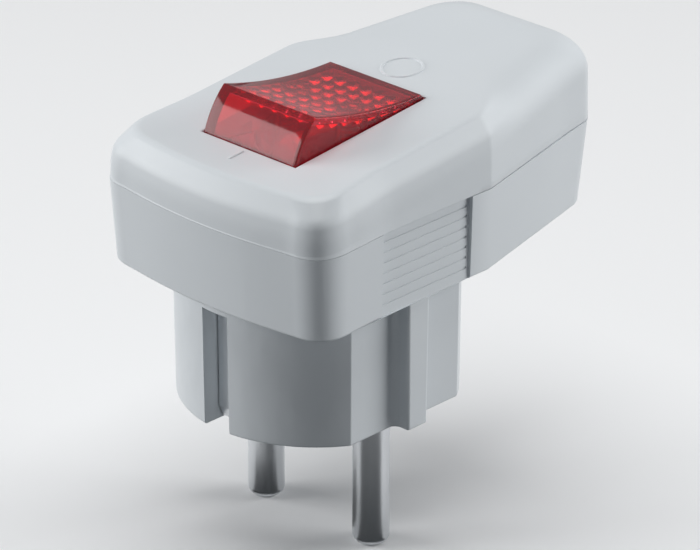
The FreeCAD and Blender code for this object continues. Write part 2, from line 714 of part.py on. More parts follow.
def rocker():
    """Hollow translucent rocker with two stub axles and two posts for its plungers."""
    body = on_rocker("rocker")
    wall = "sizes.rocker_wall"
    half = "sizes.rocker_half_width"
    roof = f"(sqrt((sizes.rocker_end_radius - {wall}) ^ 2 - (sizes.rocker_half_top - sizes.rocker_inner_corner) ^ 2)" \
           " - (sizes.rocker_half_top ^ 2) / (2 * sizes.rocker_dish_radius))"
    skin = rocker_section(new_sketch(body, "XZ_Plane"), "0", "0", "sizes.rocker_skirt")
    pad(body, skin, f"2 * {half}", both_ways=True)
    inside = rocker_section(new_sketch(body, "XZ_Plane"), wall, "sizes.rocker_inner_corner",
                            "-sizes.rocker_skirt")
    pocket(body, inside, f"2 * ({half} - {wall})", both_ways=True)
    for side in (-1, 1):
        ear = circle(new_sketch(body, "XZ_Plane", f"{-side} * {half}"), "0", "0", "sizes.ear_radius")
        pad(body, ear, wall, against=side < 0)
        stub = circle(new_sketch(body, "XZ_Plane", f"{-side} * sizes.axle_end"), "0", "0", "sizes.axle_radius")
        pad(body, stub, f"sizes.axle_end - {half} + {wall}", against=side < 0)
        post = circle(new_sketch(body, "XY_Plane", "-sizes.post_bottom"), "0", f"{side} * sizes.pole_y",
                      "sizes.post_radius")
        pad(body, post, f"sizes.post_bottom + {roof} + {wall} / 2")
        bore = circle(new_sketch(body, "XY_Plane", "-sizes.post_bottom"), "0", f"{side} * sizes.pole_y",
                      "sizes.plunger_radius + sizes.plunger_gap")
        pocket(body, bore, "sizes.post_bottom + sizes.spring_top", against=True)
    return body


def plunger(name, side):
    """Small turned plunger with a rounded tip that presses on its contact lever."""
    body = on_rocker(name)
    body.setExpression("Placement.Base.y", f"{side} * sizes.pole_y * 1mm")
    tip = "sizes.plunger_tip"
    points = [
        ("0", "-sizes.plunger_reach"),
        (tip, f"-sizes.plunger_reach + {tip}"),
        ("sizes.plunger_radius", f"-sizes.plunger_reach + 2 * {tip}"),
        ("sizes.plunger_radius", "-sizes.plunger_top"),
        ("0", "-sizes.plunger_top"),
    ]
    revolve(body, points, {0: tip})
    return body


def plunger_spring(name, side):
    """Coil spring between the roof of the rocker's post and its plunger, its wire drawn six-sided."""
    low = "(sizes.spring_wire - sizes.plunger_top)"
    high = "(sizes.spring_top - sizes.spring_wire)"
    helix = doc.addObject("Part::Helix", f"{name}_path")
    helix.setExpression("Radius", "sizes.spring_radius * 1mm")
    helix.setExpression("Height", f"({high} - {low}) * 1mm")
    helix.setExpression("Pitch", f"({high} - {low}) / sizes.spring_turns * 1mm")
    wire = doc.addObject("Part::RegularPolygon", f"{name}_wire")
    wire.Placement = Placement(Vector(), Rotation(Vector(1, 0, 0), 90))
    wire.Polygon = 6
    wire.setExpression("Circumradius", "sizes.spring_wire * 1mm")
    wire.setExpression("Placement.Base.x", "sizes.spring_radius * 1mm")
    coil = doc.addObject("Part::Sweep", name)
    coil.Sections = [wire]
    coil.Spine = (helix, [])
    coil.Solid = True
    coil.Frenet = True
    turn = "sizes.rocker_tilt - sizes.top_slope"
    coil.Placement = Placement(Vector(), Rotation(Vector(0, 1, 0), 1))
    coil.setExpression("Placement.Rotation.Angle", f"({turn}) * 1deg")
    coil.setExpression("Placement.Base.x", f"{low} * sin(({turn}) * 1deg) * 1mm")
    coil.setExpression("Placement.Base.y", f"{side} * sizes.pole_y * 1mm")
    coil.setExpression("Placement.Base.z", f"({PIVOT_Z} + {low} * cos(({turn}) * 1deg)) * 1mm")
    return coil


def lever(name, side):
    """Bent contact lever that rocks on its trunnions, drawn about them and set at the off position."""
    body = new_body(name, x=LEVER_X, y=f"{side} * sizes.pole_y", z=LEVER_Z,
                    turn="-(sizes.top_slope + sizes.lever_tilt)")
    sine = "sin(sizes.lever_tilt * 1deg)"
    cosine = "cos(sizes.lever_tilt * 1deg)"
    inner = "sizes.lever_bend"
    outer = "(sizes.lever_bend + sizes.strip)"
    run = f"sizes.lever_arm * {cosine}"
    lift = f"sizes.lever_arm * {sine}"
    points = [
        (f"-({outer} * {sine} + {run})", f"-{outer} * {cosine} + {lift}"),
        (f"-{outer} * {sine}", f"-{outer} * {cosine}"),
        (f"{outer} * {sine}", f"-{outer} * {cosine}"),
        (f"{outer} * {sine} + {run}", f"-{outer} * {cosine} + {lift}"),
        (f"{inner} * {sine} + {run}", f"-{inner} * {cosine} + {lift}"),
        (f"{inner} * {sine}", f"-{inner} * {cosine}"),
        (f"-{inner} * {sine}", f"-{inner} * {cosine}"),
        (f"-({inner} * {sine} + {run})", f"-{inner} * {cosine} + {lift}"),
    ]
    strip = outline(new_sketch(body, "XZ_Plane"), points, {1: outer, 5: f"-{inner}"})
    pad(body, strip, "sizes.lever_width", both_ways=True)
    for way in (-1, 1):
        end = "(sizes.lever_width / 2 + sizes.ear_gap + sizes.strip)"
        trunnion = circle(new_sketch(body, "XZ_Plane", f"{way} * {end}"), "0", "0", "sizes.trunnion_radius")
        pad(body, trunnion, "sizes.ear_gap + sizes.strip", against=way > 0)
    return body


def moving_contact(name, side):
    """Silver contact button under the rear arm of a lever."""
    body = new_body(name, x=LEVER_X, y=f"{side} * sizes.pole_y", z=LEVER_Z,
                    turn="-(sizes.top_slope + 2 * sizes.lever_tilt)")
    top = "-(sizes.lever_bend + sizes.strip)"
    button = circle(new_sketch(body, "XY_Plane", f"{top} - sizes.contact_rise"), "sizes.contact_u", "0",
                    "sizes.contact_radius")
    pad(body, button, "sizes.contact_rise")
    return body


def saddle(name, side):
    """Bent strip over the pin's rivet, with two notched ears that carry the lever's trunnions."""
    body = new_body(name)
    half = "sizes.saddle_half"
    near_y = "(sizes.pole_y - sizes.lever_width / 2 - sizes.ear_gap)"
    far_y = "(sizes.pole_y + sizes.lever_width / 2 + sizes.ear_gap)"
    foot = rectangle(new_sketch(body, "XY_Plane", BASE_TOP), f"{LEVER_X} - {half}", f"{LEVER_X} + {half}",
                     f"{side} * ({near_y} - sizes.strip)",
                     f"{side} * (sizes.pin_spacing / 2 + sizes.pin_rivet_head + sizes.saddle_margin)")
    pad(body, foot, "sizes.strip")
    for y0, y1 in ((f"{near_y} - sizes.strip", near_y), (far_y, f"{far_y} + sizes.strip")):
        ear = rectangle(new_sketch(body, "XY_Plane", BASE_TOP), f"{LEVER_X} - {half}", f"{LEVER_X} + {half}",
                        f"{side} * ({y0})", f"{side} * ({y1})")
        pad(body, ear, f"{LEVER_Z} - {BASE_TOP}")
    notch = circle(new_sketch(body, "XZ_Plane"), LEVER_X, LEVER_Z, "sizes.trunnion_radius + sizes.trunnion_gap")
    pocket(body, notch, "4 * sizes.half_width", both_ways=True)
    hole = circle(new_sketch(body, "XY_Plane", BASE_TOP), "0", f"{side} * sizes.pin_spacing / 2",
                  "sizes.pin_rivet_radius")
    pocket(body, hole, "sizes.strip * 2", against=True)
    return body


CONTACT_DROP = "(sizes.lever_depth + sizes.lever_bend + sizes.strip + sizes.contact_rise)"
CONTACT_X = f"(sizes.contact_u * cos({SLOPE}) + {CONTACT_DROP} * sin({SLOPE}))"
CONTACT_Z = f"({PIVOT_Z} + sizes.contact_u * sin({SLOPE}) - {CONTACT_DROP} * cos({SLOPE})" \
            f" - sizes.contact_radius * sin({SLOPE}) - sizes.contact_gap)"


def fixed_contact(name, side):
    """Flat strip from the switch contact to the foot of its cord terminal, with its contact button."""
    body = new_body(name)
    half = "sizes.lever_width / 2"
    x0 = f"({CONTACT_X} - sizes.contact_radius - sizes.contact_margin)"
    tail = "(sizes.terminal_x + sizes.terminal_length)"
    near_y = "(sizes.terminal_y - sizes.terminal_width / 2)"
    far_y = "(sizes.terminal_y + sizes.terminal_width / 2)"
    spots = [
        (x0, f"sizes.pole_y - {half}"),
        ("sizes.terminal_x - sizes.strip_lead", f"sizes.pole_y - {half}"),
        ("sizes.terminal_x", near_y),
        (tail, near_y),
        (tail, far_y),
        ("sizes.terminal_x", far_y),
        (f"{CONTACT_X} + sizes.contact_radius + sizes.contact_margin", f"sizes.pole_y + {half}"),
        (x0, f"sizes.pole_y + {half}"),
    ]
    strip = outline(new_sketch(body, "XY_Plane", BASE_TOP), [(x, f"{side} * ({y})") for x, y in spots])
    pad(body, strip, "sizes.strip")
    button = circle(new_sketch(body, "XY_Plane", STRIP_TOP), CONTACT_X, f"{side} * sizes.pole_y",
                    "sizes.contact_radius")
    pad(body, button, f"{CONTACT_Z} - {STRIP_TOP}")
    return body


def terminal(name, x, y, width, foot, length):
    """Brass block with a wire hole along X and a screw hole from above."""
    body = new_body(name)
    block = rectangle(new_sketch(body, "XY_Plane", foot), x, f"{x} + {length}", f"{y} - ({width}) / 2",
                      f"{y} + ({width}) / 2")
    pad(body, block, "sizes.terminal_height")
    wire = circle(new_sketch(body, "YZ_Plane", x), y, f"{foot} + sizes.wire_lift", "sizes.wire_hole")
    pocket(body, wire, f"({length}) + {PAST}", against=True)
    hole = circle(new_sketch(body, "XY_Plane", f"{foot} + sizes.terminal_height"), f"{x} + ({length}) / 2", y,
                  "sizes.terminal_screw")
    pocket(body, hole, "sizes.terminal_screw_length + sizes.pilot_spare / 2")
    return body


EARTH_X = "(sizes.strap_reach - sizes.earth_block_length)"
EARTH_LENGTH = "(sizes.earth_block_length - 2 * sizes.fit_gap)"


def earth_strap():
    """Bent strip across the floor whose two legs are the earth contacts in the slots."""
    body = new_body("earth_strap")
    out = "sizes.strap_reach"
    inn = "(sizes.strap_reach - sizes.strip)"
    bend = "sizes.strap_bend"
    tip = "sizes.strap_tip"
    knee = "sizes.strap_knee"
    points = [
        (f"-{out} + {bend}", tip),
        (f"-{inn} + {bend}", tip),
        (f"-{inn}", knee),
        (f"-{inn}", f"{FLOOR_TOP} - sizes.strip"),
        (inn, f"{FLOOR_TOP} - sizes.strip"),
        (inn, knee),
        (f"{inn} - {bend}", tip),
        (f"{out} - {bend}", tip),
        (out, knee),
        (out, FLOOR_TOP),
        (f"-{out}", FLOOR_TOP),
        (f"-{out}", knee),
    ]
    pad(body, outline(new_sketch(body, "XZ_Plane"), points), "sizes.strap_width", both_ways=True)
    return body


def switch_base():
    """Insulating plate on the floor: clears the pin collars, stops the levers and cradles the lamp."""
    body = new_body("switch_base")
    tail = "(sizes.terminal_x + sizes.terminal_length + sizes.base_margin)"
    half = "sizes.base_half_width"
    plate = rectangle(new_sketch(body, "XY_Plane", FLOOR_TOP), "-sizes.base_front", tail, f"-{half}", half)
    pad(body, plate, "sizes.base_thick")
    stop_z = f"({PIVOT_Z} - sizes.lever_arm * sin({SLOPE})" \
             f" - (sizes.lever_depth + sizes.lever_bend + sizes.strip) * cos({SLOPE}) - sizes.contact_gap)"
    for side in (-1, 1):
        stop = rectangle(new_sketch(body, "XY_Plane", FLOOR_TOP), "-sizes.lever_arm",
                         "-sizes.lever_arm + sizes.stop_length",
                         f"{side} * (sizes.pole_y - sizes.lever_width / 2)",
                         f"{side} * (sizes.pole_y + sizes.lever_width / 2)")
        pad(body, stop, f"{stop_z} - {FLOOR_TOP}")
        collar = circle(new_sketch(body, "XY_Plane", BASE_TOP), "0", f"{side} * sizes.pin_spacing / 2",
                        "sizes.pin_collar_radius + sizes.fit_gap")
        pocket(body, collar, f"sizes.base_thick + {PAST}")
    web = rectangle(new_sketch(body, "XY_Plane", FLOOR_TOP), "-sizes.web_reach", "sizes.web_reach",
                    "-sizes.web_half", "sizes.web_half")
    pad(body, web, f"{PIVOT_Z} + sizes.lamp_lift - sizes.cradle_depth - {FLOOR_TOP}")
    cradle = circle(new_sketch(body, "YZ_Plane"), "0", f"{PIVOT_Z} + sizes.lamp_lift",
                    "sizes.lamp_radius + sizes.fit_gap / 2")
    pocket(body, cradle, "sizes.lamp_length", both_ways=True)
    earth = rectangle(new_sketch(body, "XY_Plane", BASE_TOP), f"{EARTH_X} - sizes.earth_opening",
                      "sizes.strap_reach + sizes.earth_opening",
                      "-(sizes.earth_block_width / 2 + sizes.earth_opening)",
                      "sizes.earth_block_width / 2 + sizes.earth_opening")
    pocket(body, earth, f"sizes.base_thick + {PAST}")
    for x, y in BASE_SCREWS:
        hole = circle(new_sketch(body, "XY_Plane", BASE_TOP), x, y, "sizes.base_screw + sizes.fit_gap")
        pocket(body, hole, f"sizes.base_thick + {PAST}")
    return body


def neon_lamp():
    """Small glass lamp with rounded ends, lying on its cradle inside the rocker."""
    body = new_body("neon_lamp", z=f"{PIVOT_Z} + sizes.lamp_lift")
    half = "sizes.lamp_length / 2"
    radius = "sizes.lamp_radius"
    points = [
        (f"-{half}", "0"),
        (f"{half}", "0"),
        (f"{half} - {radius}", radius),
        (f"-{half} + {radius}", radius),
    ]
    revolve(body, points, {1: radius, 3: radius}, axis="H_Axis")
    return body


def lamp_resistor():
    """Series resistor of the lamp, lying on the switch base in front of the lamp's web."""
    body = new_body("lamp_resistor", x="-sizes.base_front + sizes.resistor_margin + sizes.resistor_length / 2",
                    z=f"{BASE_TOP} + sizes.resistor_radius")
    half = "sizes.resistor_length / 2"
    cap = "sizes.resistor_cap"
    points = [
        (f"-{half}", "0"),
        (half, "0"),
        (half, "sizes.resistor_radius"),
        (f"{half} - {cap}", "sizes.resistor_radius"),
        (f"{half} - {cap}", "sizes.resistor_neck"),
        (f"-{half} + {cap}", "sizes.resistor_neck"),
        (f"-{half} + {cap}", "sizes.resistor_radius"),
        (f"-{half}", "sizes.resistor_radius"),
    ]
    revolve(body, points, axis="H_Axis")
    return body


def cord_clamp():
    """Bar with an arch that presses the cord on the pedestal."""
    body = new_body("cord_clamp")
    x0 = f"({CLAMP_X} - sizes.clamp_length / 2)"
    bar = rectangle(new_sketch(body, "YZ_Plane", x0), "-sizes.clamp_half", "sizes.clamp_half", CLAMP_Z,
                    f"{CLAMP_Z} + sizes.clamp_thick")
    pad(body, bar, "sizes.clamp_length")
    arch = circle(new_sketch(body, "YZ_Plane", x0), "0", PARTING, "sizes.cord_radius + sizes.fit_gap")
    pocket(body, arch, f"sizes.clamp_length + {PAST}", against=True)
    for side in (-1, 1):
        hole = circle(new_sketch(body, "XY_Plane", f"{CLAMP_Z} + sizes.clamp_thick"), CLAMP_X,
                      f"{side} * sizes.clamp_screw_y", "sizes.clamp_screw + sizes.fit_gap")
        pocket(body, hole, f"sizes.clamp_thick + {PAST}")
    return body


def cable_bush():
    """Soft bush that lines the cord entry, with a flange behind the rear wall."""
    body = new_body("cable_bush", z=PARTING)
    x0 = f"({REAR} - sizes.wall - 2 * sizes.fit_gap - sizes.bush_flange_thick)"
    x1 = f"({REAR} - sizes.wall / 2)"
    bore = "(sizes.cord_radius + sizes.fit_gap)"
    points = [
        (x0, bore),
        (x1, bore),
        (x1, "sizes.bush_radius"),
        (f"{x0} + sizes.bush_flange_thick", "sizes.bush_radius"),
        (f"{x0} + sizes.bush_flange_thick", "sizes.bush_flange"),
        (x0, "sizes.bush_flange"),
    ]
    revolve(body, points, axis="H_Axis")
    return body


def screw(name, x, y, seat, radius, length, head, up=1):
    """Slotted screw. seat is the level of the head's underside; up=-1 puts the head below it."""
    thick = "sizes.screw_head_thick"
    head_z = seat if up > 0 else f"{seat} - {thick}"
    shank_z = f"{seat} - ({length})" if up > 0 else seat
    cap = cylinder(f"{name}_head", head, thick, x, y, head_z)
    shank = cylinder(f"{name}_shank", radius, length, x, y, shank_z)
    whole = doc.addObject("Part::Fuse", f"{name}_blank")
    whole.Base = cap
    whole.Tool = shank
    slot = doc.addObject("Part::Box", f"{name}_slot")
    slot_z = f"{seat} + {thick} - sizes.screw_slot_depth" if up > 0 else f"{seat} - {thick}"
    slot.setExpression("Length", f"({head}) * 2mm")
    slot.setExpression("Width", "sizes.screw_slot_width * 1mm")
    slot.setExpression("Height", "sizes.screw_slot_depth * 1mm")
    slot.setExpression("Placement.Base.x", f"({x} - ({head})) * 1mm")
    slot.setExpression("Placement.Base.y", f"({y} - sizes.screw_slot_width / 2) * 1mm")
    slot.setExpression("Placement.Base.z", f"({slot_z}) * 1mm")
    made = doc.addObject("Part::Cut", name)
    made.Base = whole
    made.Tool = slot
    return made


def group(name, members):
    """Identical fasteners as one sub-part of separate solids."""
    made = doc.addObject("Part::Compound", name)
    made.Label = name
    made.Links = members
    return made


def screws():
    """The screws of the terminals, the clamp, the switch base and the housing."""
    tops = [("sizes.terminal_x + sizes.terminal_length / 2", f"{side} * sizes.terminal_y",
             f"{STRIP_TOP} + sizes.terminal_height") for side in (-1, 1)]
    tops.append((f"{EARTH_X} + {EARTH_LENGTH} / 2", "0", f"{FLOOR_TOP} + sizes.terminal_height"))
    terminal_screws = group("terminal_screws", [
        screw(f"terminal_screw_{i}", x, y, z, "sizes.terminal_screw", "sizes.terminal_screw_length",
              "sizes.terminal_screw_head") for i, (x, y, z) in enumerate(tops)])
    clamp_screws = group("clamp_screws", [
        screw(f"clamp_screw_{i}", CLAMP_X, f"{side} * sizes.clamp_screw_y",
              f"{CLAMP_Z} + sizes.clamp_thick", "sizes.clamp_screw", "sizes.clamp_screw_length",
              "sizes.clamp_screw_head") for i, side in enumerate((-1, 1))])
    base_screws = group("base_screws", [
        screw(f"base_screw_{i}", x, y, BASE_TOP, "sizes.base_screw", "sizes.base_screw_length",
              "sizes.base_screw_head") for i, (x, y) in enumerate(BASE_SCREWS)])
    housing_screws = group("housing_screws", [
        screw(f"housing_screw_{i}", BOSS_X, f"{side} * sizes.boss_y",
              "sizes.plug_height + sizes.boss_head_depth", "sizes.boss_screw",
              f"{PARTING} - sizes.plug_height - sizes.boss_head_depth + sizes.boss_screw_bite",
              "sizes.boss_screw_head", up=-1) for i, side in enumerate((-1, 1))])
    return [terminal_screws, clamp_screws, base_screws, housing_screws]


def bodies():
    """Every sub-part, in the order that they are put together."""
    made = [lower_housing(), top_cover(), earth_strap(), switch_base(), neon_lamp(), lamp_resistor()]
    for pole, side in (("live", 1), ("neutral", -1)):
        made.append(pin(f"{pole}_pin", side))
        made.append(saddle(f"{pole}_saddle", side))
        made.append(fixed_contact(f"{pole}_fixed_contact", side))
        made.append(terminal(f"{pole}_terminal", "sizes.terminal_x", f"{side} * sizes.terminal_y",
                             "sizes.terminal_width", STRIP_TOP, "sizes.terminal_length"))
        made.append(lever(f"{pole}_lever", side))
        made.append(moving_contact(f"{pole}_moving_contact", side))
        made.append(plunger(f"{pole}_plunger", side))
        made.append(plunger_spring(f"{pole}_plunger_spring", side))
    made.append(terminal("earth_terminal", EARTH_X, "0", "sizes.earth_block_width", FLOOR_TOP,
                         EARTH_LENGTH))
    made += [rocker(), cord_clamp(), cable_bush()]
    return made + screws()


def save(made):
    """Check every object of the document, then write each sub-part to its own file."""
    doc.recompute()
    for item in doc.Objects:
        if "Invalid" in item.State or "Error" in item.State:
            raise ValueError(f"{item.Name} is {item.State}")
    os.makedirs("parts", exist_ok=True)
    for item in made:
        shape = item.Shape
        if shape.isNull() or not shape.isValid():
            raise ValueError(f"{item.Label} has a bad shape")
        shape.exportStep(os.path.join("parts", f"{item.Label}.step"))


save(bodies())
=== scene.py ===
"""Looks of the angled plug: bevelled cover, see-through red rocker, plated pins and brass inside."""

import json
import math

import bmesh
import bpy
import numpy as np
from mathutils import Matrix, Vector


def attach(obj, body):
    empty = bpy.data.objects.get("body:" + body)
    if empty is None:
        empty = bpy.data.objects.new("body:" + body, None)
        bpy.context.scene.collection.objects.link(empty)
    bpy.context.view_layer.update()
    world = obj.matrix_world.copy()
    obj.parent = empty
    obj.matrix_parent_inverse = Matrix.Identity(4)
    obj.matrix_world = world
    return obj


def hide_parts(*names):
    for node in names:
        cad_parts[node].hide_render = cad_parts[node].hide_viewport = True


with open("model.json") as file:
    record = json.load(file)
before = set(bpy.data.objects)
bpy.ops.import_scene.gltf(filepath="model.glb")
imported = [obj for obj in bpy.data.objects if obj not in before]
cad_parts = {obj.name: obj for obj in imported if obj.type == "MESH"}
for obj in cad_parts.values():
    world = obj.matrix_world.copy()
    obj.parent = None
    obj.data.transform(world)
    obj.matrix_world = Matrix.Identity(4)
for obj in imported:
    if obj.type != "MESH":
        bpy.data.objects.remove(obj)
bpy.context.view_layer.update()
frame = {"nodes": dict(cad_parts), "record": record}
NODES = frame["nodes"]
MM = 0.001

# Camera, solved on the pins, the plug body's edges, the rocker's corners and the two marks on the cover.
CAMERA_AT = (-0.34799, -0.34394, 0.24201)
CAMERA_RIGHT = Vector((0.6969, -0.7171, 0.0))
CAMERA_UP = Vector((0.3014, 0.2929, 0.9073))
FOCAL_PIXELS = 4264.4
FRAME_WIDTH = 700


def add_camera():
    """Camera from its place and two of its axes; the lens follows from the focal length in pixels."""
    data = bpy.data.cameras.new("camera")
    data.sensor_width = 36
    data.lens = FOCAL_PIXELS / FRAME_WIDTH * data.sensor_width
    data.clip_start = 0.01
    data.clip_end = 20
    camera = bpy.data.objects.new("camera", data)
    right = CAMERA_RIGHT.normalized()
    back = right.cross(CAMERA_UP).normalized()
    up = back.cross(right)
    turn = Matrix((right, up, back)).transposed().to_4x4()
    camera.matrix_world = Matrix.Translation(CAMERA_AT) @ turn
    bpy.context.scene.collection.objects.link(camera)
    bpy.context.scene.camera = camera


add_camera()

# Sizes in millimetres, as the moulds have them. The origin is the middle of the pin face.
PARTING = 29.2
COVER_FOOT = PARTING + 0.03
TOP_HEIGHT = 37.63
SLOPE = math.radians(5.8)
AXLE_DEPTH = 5.0
AXLE_Z = TOP_HEIGHT - AXLE_DEPTH / math.cos(SLOPE)
PIN_LENGTH = 19.0
PIN_Y = 9.5
WALL = 2.0
# Housing outline in plan at the parting line: half widths, places along the plug and corner rounds.
FRONT = 18.1
BOW = 2.1
HALF = 18.6
BEND = 12.0
REAR = 38.1
REAR_HALF = 12.1
CORNER_ROUND = 4.0
BEND_ROUND = 2.5
TAPER_LENGTH = math.hypot(REAR - BEND, HALF - REAR_HALF)
TAPER_ACROSS = (HALF - REAR_HALF) / TAPER_LENGTH
TAPER_ALONG = (REAR - BEND) / TAPER_LENGTH
TAPER_OUT = TAPER_ACROSS * BEND + TAPER_ALONG * HALF
# Share of the tapered side, from the bend, over which its inset changes.
TAPER_EASE = 0.42
# Round cord entry, how near to the cord end a point is to belong to it, and the most that the entry's
# samples take of half the cord end.
ENTRY = 5.5
ENTRY_ZONE = 6.0
ENTRY_SHARE = 0.75
# Window for the rocker: half its width, and the radius of its ends about the axle.
WINDOW_HALF = 8.2
WINDOW_RADIUS = 12.6


def full_turn(count):
    """Even angles round a full circle."""
    return np.linspace(0, 2 * math.pi, count, endpoint=False)


def eased(share):
    """Soft step: 0 up to share 0, 1 from share 1, three times the square less twice the cube between."""
    share = np.clip(share, 0, 1)
    return share * share * (3 - 2 * share)


def step(place, start, length):
    """Soft step that starts at a place and rises over a length."""
    return eased((place - start) / length)


def quads(rows, columns, rows_close=False, columns_close=False):
    """Faces between neighbours of a rows by columns grid; a closing way joins its last line to its first."""
    i = np.arange(rows if rows_close else rows - 1)[:, None]
    j = np.arange(columns if columns_close else columns - 1)[None, :]
    i2, j2 = (i + 1) % rows, (j + 1) % columns
    corners = (i * columns + j, i * columns + j2, i2 * columns + j2, i2 * columns + j)
    return np.stack(np.broadcast_arrays(*corners), -1).reshape(-1, 4)


def sheet(points, rows_close=False, columns_close=False):
    """A grid of points (rows, columns, 3) as one sheet of a piece."""
    rows, columns = points.shape[:2]
    return points.reshape(-1, 3), quads(rows, columns, rows_close, columns_close)


def piece(name, sheets, paint, body, node, edge, merge=1.5e-6):
    """One mesh of several sheets given in millimetres. Points nearer than `merge` metres become one, faces
    point outwards, and only edges sharper than `edge` degrees stay sharp."""
    points = np.concatenate([part[0] for part in sheets]) * MM
    starts = np.cumsum([0] + [len(part[0]) for part in sheets[:-1]])
    faces = [face for part, start in zip(sheets, starts) for face in (part[1] + start).tolist()]
    mesh = bpy.data.meshes.new(name)
    mesh.from_pydata(points, [], faces)
    work = bmesh.new()
    work.from_mesh(mesh)
    bmesh.ops.remove_doubles(work, verts=work.verts, dist=merge)
    bmesh.ops.dissolve_degenerate(work, edges=work.edges, dist=merge / 2)
    bmesh.ops.recalc_face_normals(work, faces=work.faces)
    work.to_mesh(mesh)
    work.free()
    mesh.shade_smooth()
    mesh.set_sharp_from_angle(angle=math.radians(edge))
    made = bpy.data.objects.new(name, mesh)
    bpy.context.scene.collection.objects.link(made)
    mesh.materials.append(PAINTS[paint])
    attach(made, body)
    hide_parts(node)
    return made


def corner_arc(corner, come, leave, radius, steps):
    """Arcs in one corner at many levels. The centre lies beside the corner on the side that the path turns
    to, and a point at share s lies on the circle at s of the turn from the first tangent point."""
    turn = math.atan2(come[0] * leave[1] - come[1] * leave[0], come[0] * leave[0] + come[1] * leave[1])
    side = np.array([-come[1], come[0]]) * math.copysign(1, turn)
    start = corner - np.array(come) * (radius * math.tan(abs(turn) / 2))[:, None]
    angle = np.linspace(0, abs(turn), steps)[None, :, None]
    reach = radius[:, None, None]
    return start[:, None] + reach * (np.sin(angle) * np.array(come) + (1 - np.cos(angle)) * side)


def rounded(corners, radii, steps):
    """Open path through corner points in a plane, each inner corner an arc tangent to its sides."""
    corners = np.array(corners, float)
    ways = np.diff(corners, axis=0)
    ways /= np.linalg.norm(ways, axis=1, keepdims=True)
    path = [corners[:1]]
    for corner, come, leave, radius in zip(corners[1:], ways, ways[1:], radii):
        path.append(corner_arc(corner[None], come, leave, np.array([radius]), steps)[0])
    return np.concatenate(path + [corners[-1:]])


def top_of(x):
    """Height of the cover's sloping top over x."""
    return TOP_HEIGHT + x * math.tan(SLOPE)


# The six sides of the plan outline: the way along each, the samples on it and on the arc before it. The
# cord end has none of its own here, because they follow the entry.
WAYS = ((1, 0), (TAPER_ALONG, TAPER_ACROSS), (0, 1), (-TAPER_ALONG, TAPER_ACROSS), (-1, 0), (0, -1))
SAMPLES = (36, 34, 0, 34, 36, 40)
ARC_SAMPLES = (20, 9, 18, 18, 9, 20)
# The cord end among them, the tapered sides, and its samples: -1 to 0 before the entry, 0 to 1 along it.
CORD_SIDE = 2
TAPER_SIDES = (1, 3)
ENTRY_SPREAD = np.concatenate([
    np.linspace(-1, 0, 9)[:-1],
    0.5 - 0.5 * np.cos(np.linspace(0, math.pi, 33)),
    np.linspace(1, 2, 9)[1:],
])


def offset_corners(front, side, taper, rear):
    """Corners of the plan outline, each side moved inwards by its own amount: neighbouring lines are cut."""
    half = HALF - side
    rear_x = REAR - rear
    bend_x = (TAPER_OUT - taper[0] - TAPER_ALONG * half) / TAPER_ACROSS
    rear_half = (TAPER_OUT - taper[1] - TAPER_ACROSS * rear_x) / TAPER_ALONG
    front_x = front - FRONT
    pairs = ((front_x, -half), (bend_x, -half), (rear_x, -rear_half),
             (rear_x, rear_half), (bend_x, half), (front_x, half))
    return [np.stack(np.broadcast_arrays(x, y), -1) for x, y in pairs]


def rear_side(start, end):
    """Points across the cord end: even steps up to the round cord entry, and steps of even angle along it.
    Where the end is shorter than the entry, higher up, the steps draw in with it."""
    entry = np.minimum(ENTRY, ENTRY_SHARE * end[:, 1:])
    low = -(start[:, 1:] + entry)
    high = end[:, 1:] - entry
    spread = np.clip(ENTRY_SPREAD, 0, 1)
    before, after = np.minimum(ENTRY_SPREAD, 0), np.maximum(ENTRY_SPREAD - 1, 0)
    y = entry * (2 * spread - 1) + low * before + high * after
    return np.dstack([start[:, :1] + 0 * y, y])[:, 1:-1]


def rings(front, side, taper, rear, front_round, rear_round):
    """Plan outlines (level, point, xy) from four insets and two corner rounds, one value for each level.
    Straight sides join the arcs; along the tapered sides the inset eases from that of the straight sides to
    that of the cord end; the front is bowed by a parabola over y."""
    insets_and_rounds = (front, side, taper, rear, front_round, rear_round)
    levels = np.broadcast_arrays(*map(np.atleast_1d, insets_and_rounds))
    front, side, taper, rear, front_round, rear_round = (level.astype(float) for level in levels)
    corners = offset_corners(front, side, (side, taper), rear)
    bend_round = BEND_ROUND + side
    radii = (front_round, bend_round, rear_round, rear_round, bend_round, front_round)
    arcs = [corner_arc(corners[k], WAYS[k - 1], WAYS[k], radii[k], ARC_SAMPLES[k]) for k in range(6)]
    outline = []
    for k in range(6):
        start, end = arcs[k][:, -1], arcs[(k + 1) % 6][:, 0]
        if k == CORD_SIDE:
            stretch = rear_side(start, end)
        else:
            share = np.linspace(0, 1, SAMPLES[k])[None, 1:-1, None]
            stretch = start[:, None] + (end - start)[:, None] * share
        if k in TAPER_SIDES:
            from_bend = share if k < CORD_SIDE else 1 - share
            inward = np.array([-WAYS[k][1], WAYS[k][0]])
            change = eased(from_bend / TAPER_EASE) - from_bend
            stretch = stretch + (taper - side)[:, None, None] * change * inward
        outline += [arcs[k], stretch]
    outline = np.concatenate(outline, 1)
    half = (HALF - side)[:, None]
    bowed = BOW * np.maximum(half ** 2 - outline[..., 1] ** 2, 0) / HALF ** 2
    outline[..., 0] -= np.where(outline[..., 0] < 0, bowed, 0)
    return outline


def entry_rise(outline):
    """How far the round cord entry reaches past the parting line at each point: half a circle over y."""
    at_rear = outline[..., 0] > REAR - ENTRY_ZONE
    return np.where(at_rear, np.sqrt(np.maximum(ENTRY ** 2 - outline[..., 1] ** 2, 0)), 0)


